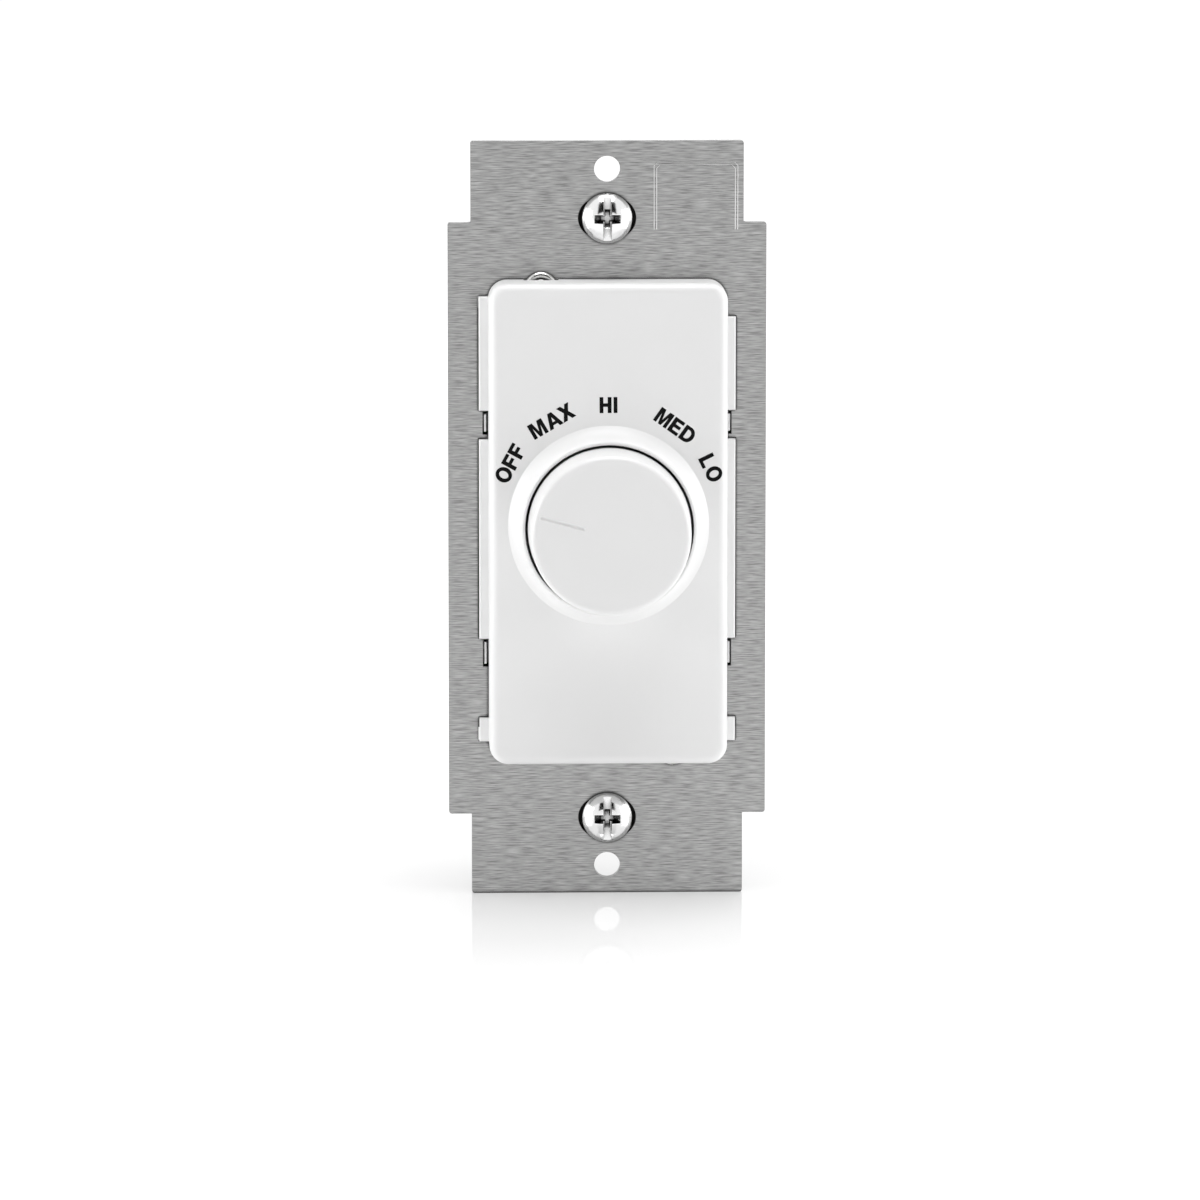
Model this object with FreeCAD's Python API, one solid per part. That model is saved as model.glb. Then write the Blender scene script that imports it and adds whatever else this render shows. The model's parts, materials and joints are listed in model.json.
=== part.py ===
import FreeCAD, Part
import math
import os

from FreeCAD import Vector

# A rotary fan speed control for a single-gang wall box, in millimetres.
# X runs to the right as seen from the room, Z runs up and Y runs into the wall.
# The origin is midway between the two box screws, on the back face of the strap.

# Mounting strap, a flat plate with narrower ends
strap_thickness = 1.5
strap_width = 43.8
strap_wide_height = 82.2
strap_end_width = 37.5
strap_height = 104.6
strap_corner_radius = 0.4
box_screw_spacing = 83.34
box_slot_width = 8.0
box_slot_height = 5.4
plate_screw_spacing = 96.84
plate_hole_diameter = 3.6

# Moulded face with its side rails and snap hooks
face_width = 32.75
face_height = 66.5
face_rise = 6.8
face_corner_radius = 2.6
face_edge_radius = 1.3
face_wall = 1.6
face_panel_thickness = 1.8
rail_reach = 1.3
rail_rise = 1.0
rail_root = 0.6
rail_tail_setback = 0.2
rail_edge_radius = 0.25
rail_left_spans = ((15.2, 30.95), (-16.5, 11.2), (-30.85, -27.6))
rail_right_spans = ((15.2, 28.1), (-16.5, 11.2), (-30.85, -27.6))
rail_slot_clearance = 0.12
hook_leg = 0.9
hook_catch = 0.35
hook_slot_reach = 0.78
hook_tip_gap = 0.3
hook_tip_thickness = 0.28
hook_tip_setback = 0.12
hook_barb_height = 0.9
hook_gap = 0.1
hook_spans = ((12.2, 14.6), (-20.1, -17.1))
hook_slot_clearance = 0.4

# Flared collar round the knob
collar_foot_radius = 13.8
collar_crest_width = 0.55
collar_rise = 3.9
collar_flare_sag = 0.62
well_depth = 0.6
well_floor_thickness = 1.2
shaft_opening_clearance = 0.35

# Knob
knob_rise = 17.8
knob_base_radius = 11.3
knob_front_radius = 10.95
knob_edge_radius = 0.9
knob_wall = 1.5
knob_top_thickness = 1.8
knob_hub_radius = 4.4
knob_rib_thickness = 1.0
knob_rib_count = 6
knob_rib_setback = 1.4
knob_collar_gap = 0.22
knob_well_gap = 0.5
pointer_inner_radius = 3.9
pointer_end_margin = 0.3
pointer_groove_radius = 0.32
pointer_groove_depth = 0.2
off_angle = -75.0

# Selector shaft and the spring clip between its flat and the knob
shaft_radius = 3.0
shaft_flat_offset = 1.5
shaft_tip_gap = 0.5
shaft_flat_length = 9.6
rotor_seat_radius = 2.4
rotor_seat_length = 4.2
journal_radius = 1.5
journal_length = 3.0
running_clearance = 0.05
clip_thickness = 0.3
clip_width = 3.6
clip_length = 6.4

# Bushing, washer and nut that hold the rotary switch to the strap
bushing_radius = 4.7
bushing_length = 7.0
bushing_flange_radius = 6.4
bushing_flange_thickness = 0.8
bushing_hole_clearance = 0.15
lock_washer_radius = 6.9
lock_washer_thickness = 0.6
lock_washer_tooth_count = 10
lock_washer_tooth_depth = 0.8
nut_across_flats = 12.7
nut_thickness = 2.2

# Rotary switch
barrier_thickness = 0.3
barrier_width = 28.8
barrier_edge_gap = 0.3
cover_thickness = 1.0
cover_width = 28.0
cover_height = 25.0
cover_ear_width = 6.0
cover_ear_thickness = 0.8
base_depth = 9.1
base_floor_thickness = 2.6
base_cavity_radius = 10.2
base_corner_radius = 1.5
rotor_radius = 9.0
rotor_thickness = 3.2
rotor_front_gap = 0.4
speed_steps = (0.0, 45.0, 75.0, 105.0, 135.0)
detent_radius = 0.8
detent_clearance = 0.1
stop_lug_reach = 0.9
stop_lug_half_angle = 8.0
stop_rib_half_angle = 4.0
stop_rib_gap_angle = 2.0
stop_rib_radial_gap = 0.3
spring_strip = 0.3
spring_half_length = 7.0
spring_width = 2.6
spring_arm_rise = 1.5
spring_end_rise = 2.3
spring_pocket_clearance = 0.3

# Contacts of the rotary switch
wiper_angle = 112.5
wiper_thickness = 0.3
wiper_ring_outer = 4.9
wiper_arm_width = 3.0
wiper_nose_radius = 0.7
wiper_tip_setback = 0.2
contact_gap = 0.1
contact_thickness = 0.5
contact_inner_radius = 6.0
contact_outer_radius = 8.6
contact_half_angle = 9.0
common_ring_inner = 3.3
common_ring_outer = 5.1
tail_radius = 0.5
tail_clearance = 0.05
tail_stand_out = 0.3

# Circuit board and what is soldered to it
board_thickness = 1.6
board_edge_clearance = 0.3
board_corner_radius = 1.0
large_capacitor_size = (28.0, 15.0, 17.0)
small_capacitor_size = (22.0, 12.0, 15.0)
large_capacitor_height = 17.4
small_capacitor_height = -17.4
large_lead_spacing = 22.5
small_lead_spacing = 15.0
lead_radius = 0.4
lead_clearance = 0.1
lead_stand_out = 1.0
resistor_radius = 1.5
resistor_length = 8.0
resistor_waist_radius = 1.25
resistor_lead_spacing = 10.5
resistor_height = 3.3
resistor_board_gap = 0.6

# Rear housing
housing_width = 41.0
housing_height = 58.4
housing_depth = 31.0
housing_draft = 0.5
housing_wall = 2.0
housing_corner_radius = 3.0
housing_back_edge_radius = 1.6
ear_width = 26.0
ear_height = 5.3
ear_thickness = 5.0
ear_corner_radius = 2.5
post_size = 4.0
back_panel_margin = 5.0
back_panel_depth = 0.5
back_panel_corner_radius = 1.5

# Tubular rivets, on a diagonal
rivet_x = 9.1
rivet_z = 32.0
rivet_tube_radius = 1.55
rivet_bore_radius = 1.25
rivet_flange_radius = 2.3
rivet_flange_thickness = 0.7
rivet_flange_bulge = 0.35
rivet_hole_clearance = 0.1
rivet_relief_clearance = 0.4

# Side terminals for the line and load conductors
bay_depth = 5.5
bay_height = 12.0
bay_wall = 1.6
bay_floor_thickness = 2.0
bay_start = 15.0
terminal_plate_thickness = 1.0
terminal_plate_height = 10.0
terminal_plate_length = 10.6
terminal_tail_width = 3.0
terminal_slot_clearance = 0.1
terminal_edge_gap = 0.2
clamp_thickness = 0.9
clamp_width = 8.6
clamp_lip = 0.9
terminal_screw_radius = 1.9
terminal_screw_length = 6.0
terminal_head_radius = 3.7
terminal_head_height = 2.0
terminal_head_edge = 1.1
terminal_slot_width = 1.1
terminal_slot_depth = 1.0
screw_point_chamfer = 0.4

# Grounding terminal, on the lower rivet behind the lower ear
ground_bracket_thickness = 0.9
ground_bracket_width = 9.0
ground_bracket_reach = 11.0
ground_bend_radius = 0.9
ground_leg_gap = 0.4
ground_screw_length = 4.6

# Box mounting screws and their retainers
box_screw_radius = 1.7
box_screw_length = 25.0
box_neck_radius = 1.3
box_neck_length = 3.0
box_head_radius = 3.45
box_head_edge = 0.6
box_head_height = 2.1
box_dome_shoulder_radius = 2.5
box_dome_shoulder_drop = 0.45
box_driver_slot_width = 1.1
box_driver_slot_depth = 0.9
cross_recess_span = 3.7
cross_recess_arm = 1.15
cross_recess_depth = 1.7
cross_recess_taper = 0.45
retainer_size = 8.6
retainer_thickness = 0.9
retainer_corner_radius = 1.2

# Levels along Y that the pieces share
strap_front = -strap_thickness
face_front = strap_front - face_rise
crest_front = face_front - collar_rise
well_floor_front = face_front + well_depth
well_floor_back = well_floor_front + well_floor_thickness
knob_front = strap_front - knob_rise
knob_back = well_floor_front - knob_well_gap
knob_cavity_top = knob_front + knob_top_thickness
shaft_tip = knob_cavity_top + shaft_tip_gap
collar_bore_radius = knob_base_radius + knob_collar_gap
cover_front = barrier_thickness
cover_back = cover_front + cover_thickness
bushing_tip = cover_back - bushing_length
flange_back = cover_back + bushing_flange_thickness
rotor_front = flange_back + rotor_front_gap
rotor_back = rotor_front + rotor_thickness
base_back = cover_back + base_depth
base_floor_front = base_back - base_floor_thickness
contact_front = base_floor_front - contact_thickness
board_front = base_back
board_back = board_front + board_thickness
housing_inner_back = housing_depth - housing_wall
bay_floor_x = housing_width / 2 - bay_depth
terminal_screw_y = bay_start + terminal_edge_gap + terminal_plate_length / 2
ear_end = housing_height / 2 + ear_height
ground_plate_y = ear_thickness + ground_bracket_thickness
ground_screw_y = ground_plate_y + ground_bracket_reach / 2
ground_leg_face = -(rivet_z + rivet_flange_radius + ground_leg_gap + ground_bracket_thickness)


def cylinder_y(radius, start, end, x=0.0, z=0.0):
    """A round bar along Y between two levels."""
    return Part.makeCylinder(radius, end - start, Vector(x, start, z), Vector(0, 1, 0))


def block(x_low, x_high, y_low, y_high, z_low, z_high):
    """A rectangular block between two corners."""
    size = (x_high - x_low, y_high - y_low, z_high - z_low)
    return Part.makeBox(size[0], size[1], size[2], Vector(x_low, y_low, z_low))


def rounded_outline(width, height, radius, level, x=0.0, z=0.0):
    """A closed rounded rectangle in the plane at one level along Y."""
    half_w = width / 2
    half_h = height / 2
    bend = min(radius, half_w - 0.01, half_h - 0.01)
    corners = ((1, 1, 0), (-1, 1, 90), (-1, -1, 180), (1, -1, 270))
    arcs = []
    for side_x, side_z, start in corners:
        centre_x = x + side_x * (half_w - bend)
        centre_z = z + side_z * (half_h - bend)
        points = []
        for step in (0, 45, 90):
            turn = math.radians(start + step)
            points.append(Vector(centre_x + bend * math.cos(turn), level, centre_z + bend * math.sin(turn)))
        arcs.append(Part.Arc(points[0], points[1], points[2]))
    edges = []
    for index, arc in enumerate(arcs):
        edges.append(arc.toShape())
        following = arcs[(index + 1) % len(arcs)]
        edges.append(Part.makeLine(arc.EndPoint, following.StartPoint))
    return Part.Wire(edges)


def rounded_slab(width, height, radius, start, end, x=0.0, z=0.0):
    """A plate with rounded corners between two levels along Y."""
    outline = rounded_outline(width, height, radius, start, x, z)
    return Part.Face(outline).extrude(Vector(0, end - start, 0))


def ring_y(outer, inner, start, end):
    """A flat ring round the Y axis."""
    return cylinder_y(outer, start, end).cut(cylinder_y(inner, start, end))


def revolved(edges):
    """A solid of revolution about Y from a closed profile of edges in the plane X, Y."""
    profile = Part.Face(Part.Wire(edges))
    return profile.revolve(Vector(0, 0, 0), Vector(0, 1, 0), 360)


def point_at(radius, level):
    """A point of a revolved profile."""
    return Vector(radius, level, 0)


def polar(radius, angle, level):
    """A point at an angle clockwise from the top, as seen from the room."""
    turn = math.radians(angle)
    return Vector(radius * math.sin(turn), level, radius * math.cos(turn))


def turned(shape, angle):
    """A copy turned clockwise about the knob's axis, as seen from the room."""
    copy = shape.copy()
    copy.rotate(Vector(0, 0, 0), Vector(0, 1, 0), angle)
    return copy


def sector(outer, inner, centre_angle, half_angle, start, end):
    """A piece of a flat ring that spans an angle, with round sides inside and out."""
    low = centre_angle - half_angle
    high = centre_angle + half_angle
    middle = centre_angle
    outside = Part.Arc(polar(outer, low, start), polar(outer, middle, start), polar(outer, high, start))
    inside = Part.Arc(polar(inner, high, start), polar(inner, middle, start), polar(inner, low, start))
    edges = [
        outside.toShape(),
        Part.makeLine(polar(outer, high, start), polar(inner, high, start)),
        inside.toShape(),
        Part.makeLine(polar(inner, low, start), polar(outer, low, start)),
    ]
    return Part.Face(Part.Wire(edges)).extrude(Vector(0, end - start, 0))


def fused(shapes):
    """One solid from touching pieces, with its seams removed."""
    whole = shapes[0]
    for shape in shapes[1:]:
        whole = whole.fuse(shape)
    return whole.removeSplitter()


def edges_at_level(shape, level):
    """The edges that lie wholly in one plane across Y."""
    found = []
    for edge in shape.Edges:
        box = edge.BoundBox
        if abs(box.YMin - level) < 1e-4 and abs(box.YMax - level) < 1e-4:
            found.append(edge)
    return found


def mirrored_x(shape):
    """The left-hand copy of a right-hand piece."""
    return shape.mirror(Vector(0, 0, 0), Vector(1, 0, 0))


def side_copy(shape, side):
    """A piece for the right side as it is, or its mirror for the left."""
    if side > 0:
        return shape
    return mirrored_x(shape)


def rivet_places():
    """The two rivets stand on a diagonal of the strap."""
    return ((-rivet_x, rivet_z), (rivet_x, -rivet_z))


def rail_sides():
    """Each side of the face with the heights that its rails cover."""
    return ((-1, rail_left_spans), (1, rail_right_spans))


def make_strap():
    """The plate: screw slots, holes for the wall plate, rail slots, hook slots, bushing and rivets."""
    wide = rounded_slab(strap_width, strap_wide_height, strap_corner_radius, strap_front, 0)
    ends = rounded_slab(strap_end_width, strap_height, strap_corner_radius, strap_front, 0)
    plate = fused([wide, ends])
    cuts = [cylinder_y(bushing_radius + bushing_hole_clearance, strap_front, 0)]
    for end in (-1, 1):
        slot_z = end * box_screw_spacing / 2
        slot = rounded_slab(box_slot_width, box_slot_height, box_slot_height / 2, strap_front, 0, 0, slot_z)
        cuts.append(slot)
        plate_z = end * plate_screw_spacing / 2
        cuts.append(cylinder_y(plate_hole_diameter / 2, strap_front, 0, 0, plate_z))
    for x, z in rivet_places():
        cuts.append(cylinder_y(rivet_tube_radius + rivet_hole_clearance, strap_front, 0, x, z))
    rail_inner = face_width / 2 - rail_root - rail_slot_clearance
    rail_outer = face_width / 2 + rail_reach + rail_slot_clearance
    hook_inner = face_width / 2 - hook_leg - hook_slot_clearance
    hook_outer = face_width / 2 + hook_slot_reach
    for side, spans in rail_sides():
        for low, high in spans:
            bottom = low - rail_slot_clearance
            top = high + rail_slot_clearance
            cuts.append(side_copy(block(rail_inner, rail_outer, strap_front, 0, bottom, top), side))
        for low, high in hook_spans:
            bottom = low - hook_slot_clearance
            top = high + hook_slot_clearance
            cuts.append(side_copy(block(hook_inner, hook_outer, strap_front, 0, bottom, top), side))
    return plate.cut(cuts).removeSplitter()


def make_collar():
    """The flared collar: a concave flank, a rounded crest and a straight bore."""
    crest_outer = collar_bore_radius + collar_crest_width
    crest_middle = collar_bore_radius + collar_crest_width / 2
    shoulder = crest_front + collar_crest_width / 2
    chord_middle_r = (collar_foot_radius + crest_outer) / 2
    chord_middle_y = (face_front + shoulder) / 2
    chord = math.hypot(collar_foot_radius - crest_outer, face_front - shoulder)
    sag_r = -(face_front - shoulder) / chord * collar_flare_sag
    sag_y = (collar_foot_radius - crest_outer) / chord * collar_flare_sag
    flank_middle = point_at(chord_middle_r + sag_r, chord_middle_y + sag_y)
    foot = point_at(collar_foot_radius, face_front)
    outer_edge = point_at(crest_outer, shoulder)
    inner_edge = point_at(collar_bore_radius, shoulder)
    under_foot = point_at(collar_foot_radius, well_floor_front)
    under_bore = point_at(collar_bore_radius, well_floor_front)
    edges = [
        Part.makeLine(under_foot, foot),
        Part.Arc(foot, flank_middle, outer_edge).toShape(),
        Part.Arc(outer_edge, point_at(crest_middle, crest_front), inner_edge).toShape(),
        Part.makeLine(inner_edge, under_bore),
        Part.makeLine(under_bore, under_foot),
    ]
    return revolved(edges)


def make_rail(low, high):
    """One right-hand rail: a lipped foot that stands in its slot of the strap."""
    inner = face_width / 2 - rail_root
    outer = face_width / 2 + rail_reach
    rail = block(inner, outer, strap_front - rail_rise, -rail_tail_setback, low, high)
    rim = []
    for edge in edges_at_level(rail, strap_front - rail_rise):
        if edge.BoundBox.XMax > outer - 1e-4:
            rim.append(edge)
    return rail.makeFillet(rail_edge_radius, rim)


def make_hook(low, high):
    """One right-hand snap hook: a leg through the strap, a barb behind it and a tip that comes forward again."""
    wall = face_width / 2
    barb_tip = wall + hook_slot_reach + hook_catch
    barb_front = hook_gap
    barb_back = hook_gap + hook_barb_height
    tip_inner = wall + hook_tip_gap
    tip_outer = tip_inner + hook_tip_thickness
    tip_front = strap_front + hook_tip_setback
    corners = (
        (wall - hook_leg, strap_front - rail_rise),
        (wall, strap_front - rail_rise),
        (wall, barb_front),
        (tip_inner, barb_front),
        (tip_inner, tip_front),
        (tip_outer, tip_front),
        (tip_outer, barb_front),
        (barb_tip, barb_front),
        (wall - hook_leg / 3, barb_back),
        (wall - hook_leg, barb_back),
    )
    points = [Vector(x, y, low) for x, y in corners]
    outline = Part.makePolygon(points + points[:1])
    return Part.Face(outline).extrude(Vector(0, 0, high - low))


def make_face_frame():
    """The moulded face: shell, collar and well, side rails, snap hooks and rivet reliefs."""
    body = rounded_slab(face_width, face_height, face_corner_radius, face_front, strap_front)
    body = body.makeFillet(face_edge_radius, edges_at_level(body, face_front))
    inner_width = face_width - 2 * face_wall
    inner_height = face_height - 2 * face_wall
    inner_radius = face_corner_radius - face_wall
    ceiling = face_front + face_panel_thickness
    shell = body.cut(rounded_slab(inner_width, inner_height, inner_radius, ceiling, strap_front))
    well_boss = cylinder_y(collar_foot_radius, face_front + well_depth, well_floor_back)
    pieces = [shell, well_boss, make_collar()]
    for side, spans in rail_sides():
        for low, high in spans:
            pieces.append(side_copy(make_rail(low, high), side))
        for low, high in hook_spans:
            pieces.append(side_copy(make_hook(low, high), side))
    frame = fused(pieces)
    opening = cylinder_y(knob_hub_radius + shaft_opening_clearance, face_front, well_floor_back)
    well = cylinder_y(collar_bore_radius, crest_front, well_floor_front)
    cuts = [well, opening]
    relief_radius = rivet_flange_radius + rivet_relief_clearance
    relief_top = strap_front - rivet_flange_thickness - rivet_relief_clearance
    for x, z in rivet_places():
        cuts.append(cylinder_y(relief_radius, relief_top, strap_front, x, z))
    return frame.cut(cuts).removeSplitter()


def make_knob():
    """The hollow knob: tapered skirt, hub with a D bore, ribs and a pointer groove."""
    skirt_slope = (knob_base_radius - knob_front_radius) / (knob_back - knob_front)
    inner_base = knob_base_radius - knob_wall
    inner_top = inner_base - skirt_slope * (knob_back - knob_cavity_top)
    blend = knob_edge_radius * (1 - math.sqrt(0.5))
    side_top = point_at(knob_front_radius, knob_front + knob_edge_radius)
    edge_middle = point_at(knob_front_radius - blend, knob_front + blend)
    front_rim = point_at(knob_front_radius - knob_edge_radius, knob_front)
    outline = [
        Part.makeLine(point_at(0, knob_front), front_rim),
        Part.Arc(front_rim, edge_middle, side_top).toShape(),
        Part.makeLine(side_top, point_at(knob_base_radius, knob_back)),
        Part.makeLine(point_at(knob_base_radius, knob_back), point_at(inner_base, knob_back)),
        Part.makeLine(point_at(inner_base, knob_back), point_at(inner_top, knob_cavity_top)),
        Part.makeLine(point_at(inner_top, knob_cavity_top), point_at(0, knob_cavity_top)),
        Part.makeLine(point_at(0, knob_cavity_top), point_at(0, knob_front)),
    ]
    cup = revolved(outline)
    hub = cylinder_y(knob_hub_radius, knob_cavity_top, knob_back)
    rib_back = knob_back - knob_rib_setback
    rib_reach = inner_top + knob_wall / 2
    half_rib = knob_rib_thickness / 2
    ribs = []
    for index in range(knob_rib_count):
        rib = block(-half_rib, half_rib, knob_cavity_top, rib_back, knob_hub_radius / 2, rib_reach)
        ribs.append(turned(rib, 360.0 * (index + 0.5) / knob_rib_count))
    knob = fused([cup, hub] + ribs)
    flat = shaft_flat_offset + clip_thickness
    bore = cylinder_y(shaft_radius + running_clearance, knob_cavity_top, knob_back)
    flat_side = block(-shaft_radius, shaft_radius, knob_cavity_top, knob_back, flat, 2 * shaft_radius)
    knob = knob.cut(bore.cut(flat_side))
    groove_y = knob_front - pointer_groove_radius + pointer_groove_depth
    groove_end = knob_front_radius - knob_edge_radius - pointer_end_margin
    groove_length = groove_end - pointer_inner_radius
    groove_start = Vector(0, groove_y, pointer_inner_radius)
    groove = Part.makeCylinder(pointer_groove_radius, groove_length, groove_start, Vector(0, 0, 1))
    groove_ends = [Part.makeSphere(pointer_groove_radius, Vector(0, groove_y, groove_end))]
    groove_ends.append(Part.makeSphere(pointer_groove_radius, groove_start))
    return turned(knob.cut([groove] + groove_ends), off_angle)


def make_spring_clip():
    """The flat steel clip that keeps the knob tight on the shaft."""
    low = shaft_flat_offset
    high = shaft_flat_offset + clip_thickness
    end = shaft_tip + clip_length
    clip = block(-clip_width / 2, clip_width / 2, shaft_tip, end, low, high)
    return turned(clip, off_angle)


def make_shaft():
    """The turned shaft: flatted tip, bearing length, rotor seat and rear journal."""
    seat_start = rotor_front - rotor_front_gap / 2
    seat_end = seat_start + rotor_seat_length
    bar = cylinder_y(shaft_radius, shaft_tip, seat_start)
    seat = cylinder_y(rotor_seat_radius, seat_start, seat_end)
    journal = cylinder_y(journal_radius, seat_end, seat_end + journal_length)
    shaft = fused([bar, seat, journal])
    flat_end = shaft_tip + shaft_flat_length
    waste = block(-shaft_radius, shaft_radius, shaft_tip, flat_end, shaft_flat_offset, 2 * shaft_radius)
    return turned(shaft.cut(waste), off_angle)


def make_bushing():
    """The threaded bushing with its flange behind the cover."""
    barrel = cylinder_y(bushing_radius, bushing_tip, cover_back)
    flange = cylinder_y(bushing_flange_radius, cover_back, flange_back)
    bore = cylinder_y(shaft_radius + running_clearance, bushing_tip, flange_back)
    return fused([barrel, flange]).cut(bore)


def make_lock_washer():
    """The washer with teeth round its inner edge."""
    front = strap_front - lock_washer_thickness
    inner = bushing_radius + bushing_hole_clearance
    washer = ring_y(lock_washer_radius, inner, front, strap_front)
    gap_angle = 90.0 / lock_washer_tooth_count
    gaps = []
    for index in range(lock_washer_tooth_count):
        angle = 360.0 * index / lock_washer_tooth_count
        outer = inner + lock_washer_tooth_depth
        gaps.append(sector(outer, inner / 2, angle, gap_angle, front, strap_front))
    return washer.cut(gaps)


def make_nut():
    """The hexagon nut on the bushing."""
    back = strap_front - lock_washer_thickness
    front = back - nut_thickness
    corner = nut_across_flats / math.sqrt(3)
    points = [polar(corner, 60 * index, front) for index in range(6)]
    hexagon = Part.Face(Part.makePolygon(points + points[:1])).extrude(Vector(0, nut_thickness, 0))
    rounded = cylinder_y(corner, front, back)
    rounded = rounded.makeChamfer(corner - nut_across_flats / 2, edges_at_level(rounded, front))
    bore = cylinder_y(bushing_radius + running_clearance, front, back)
    return hexagon.common(rounded).cut(bore)


def make_barrier():
    """The insulating sheet between the strap and the live parts."""
    height = inner_size()[1] - 2 * barrier_edge_gap
    sheet = rounded_slab(barrier_width, height, board_corner_radius, 0, barrier_thickness)
    return sheet.cut(cylinder_y(bushing_radius + bushing_hole_clearance, 0, barrier_thickness))


def make_cover():
    """The stamped switch cover with an ear folded down each side of the base."""
    half = cover_width / 2
    plate = rounded_slab(cover_width, cover_height, base_corner_radius, cover_front, cover_back)
    ear_z = cover_ear_width / 2
    ear = block(half - cover_ear_thickness, half, cover_front, base_back, -ear_z, ear_z)
    hole = cylinder_y(bushing_radius + running_clearance, cover_front, cover_back)
    return fused([plate, ear, mirrored_x(ear)]).cut(hole)


def stop_angles():
    """The middle of each stop rib, one past either end of the rotor's travel."""
    margin = stop_lug_half_angle + stop_rib_gap_angle + stop_rib_half_angle
    return (wiper_angle + speed_steps[0] - margin, wiper_angle + speed_steps[-1] + margin)


def speed_contacts():
    """Each live speed with the angle of its contact: off has none."""
    names = ("max", "high", "medium", "low")
    return [(name, wiper_angle + step) for name, step in zip(names, speed_steps[1:])]


def make_base():
    """The moulded switch base: round well, stop ribs, spring pocket and contact holes."""
    width = cover_width - 2 * cover_ear_thickness
    cup = rounded_slab(width, cover_height, base_corner_radius, cover_back, base_back)
    well = cylinder_y(base_cavity_radius, cover_back, base_floor_front)
    spring_back = spring_start() + spring_width
    pocket_half = spring_half_length + spring_pocket_clearance
    pocket_top = rotor_radius + spring_end_rise + spring_strip
    pocket_front = spring_start() - spring_pocket_clearance
    pocket_back = spring_back + spring_pocket_clearance
    pocket = block(-pocket_half, pocket_half, pocket_front, pocket_back, rotor_radius, pocket_top)
    cup = cup.cut([well, pocket])
    rib_inner = rotor_radius + stop_rib_radial_gap
    rib_outer = base_cavity_radius + stop_rib_radial_gap
    ribs = []
    for angle in stop_angles():
        ribs.append(sector(rib_outer, rib_inner, angle, stop_rib_half_angle, rotor_front, base_floor_front))
    cup = fused([cup] + ribs)
    journal_end = rotor_front - rotor_front_gap / 2 + rotor_seat_length + journal_length
    journal_hole = journal_radius + running_clearance
    holes = [cylinder_y(journal_hole, base_floor_front, journal_end + running_clearance)]
    for x, z in tail_places():
        holes.append(cylinder_y(tail_radius + tail_clearance, base_floor_front, base_back, x, z))
    return cup.cut(holes)


def tail_places():
    """Where the tails of the contacts pass through the base and the board."""
    places = []
    middle = (contact_inner_radius + contact_outer_radius) / 2
    for name, angle in speed_contacts():
        spot = polar(middle, angle, 0)
        places.append((spot.x, spot.z))
    common = polar((common_ring_inner + common_ring_outer) / 2, 0, 0)
    places.append((common.x, common.z))
    return places


def make_tail(radius, angle):
    """The round tail behind a contact."""
    spot = polar(radius, angle, 0)
    return cylinder_y(tail_radius, base_floor_front, board_back + tail_stand_out, spot.x, spot.z)


def make_speed_contact(angle):
    """One curved contact pad with its tail."""
    middle = (contact_inner_radius + contact_outer_radius) / 2
    pad = sector(contact_outer_radius, contact_inner_radius, angle, contact_half_angle,
                 contact_front, base_floor_front)
    return fused([pad, make_tail(middle, angle)])


def make_common_contact():
    """The contact ring that the wiper never leaves, with its tail."""
    ring = ring_y(common_ring_outer, common_ring_inner, contact_front, base_floor_front)
    middle = (common_ring_inner + common_ring_outer) / 2
    return fused([ring, make_tail(middle, 0)])


def make_rotor():
    """The rotor: a disc with a detent notch for each speed and a stop lug."""
    disc = cylinder_y(rotor_radius, rotor_front, rotor_back)
    lug = sector(rotor_radius + stop_lug_reach, rotor_radius / 2, wiper_angle, stop_lug_half_angle,
                 rotor_front, rotor_back)
    cuts = [cylinder_y(rotor_seat_radius + running_clearance, rotor_front, rotor_back)]
    for step in speed_steps:
        spot = polar(rotor_radius, -step, 0)
        cuts.append(cylinder_y(detent_radius + detent_clearance, rotor_front, rotor_back, spot.x, spot.z))
    return fused([disc, lug]).cut(cuts)


def make_wiper():
    """The wiper: a ring on the rotor, an arm to the pads and a nose over the common ring."""
    back = rotor_back + wiper_thickness
    nose_tip = contact_front - contact_gap
    ring = ring_y(wiper_ring_outer, rotor_seat_radius + running_clearance, rotor_back, back)
    pad_middle = (contact_inner_radius + contact_outer_radius) / 2
    half_arm = wiper_arm_width / 2
    inner = (rotor_seat_radius + wiper_ring_outer) / 2
    tip = contact_outer_radius - wiper_tip_setback
    arm = block(-half_arm, half_arm, rotor_back, back, inner, tip)
    pieces = [ring, turned(arm, wiper_angle)]
    ring_middle = (common_ring_inner + common_ring_outer) / 2
    for radius, angle in ((pad_middle, wiper_angle), (ring_middle, wiper_angle + 180)):
        spot = polar(radius, angle, 0)
        nose = cylinder_y(wiper_nose_radius, rotor_back, nose_tip, spot.x, spot.z)
        nose = nose.makeFillet(wiper_nose_radius / 2, edges_at_level(nose, nose_tip))
        pieces.append(nose)
    return fused(pieces)


def spring_start():
    """The front edge of the detent spring, which lies midway along the rotor."""
    return (rotor_front + rotor_back - spring_width) / 2


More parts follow.
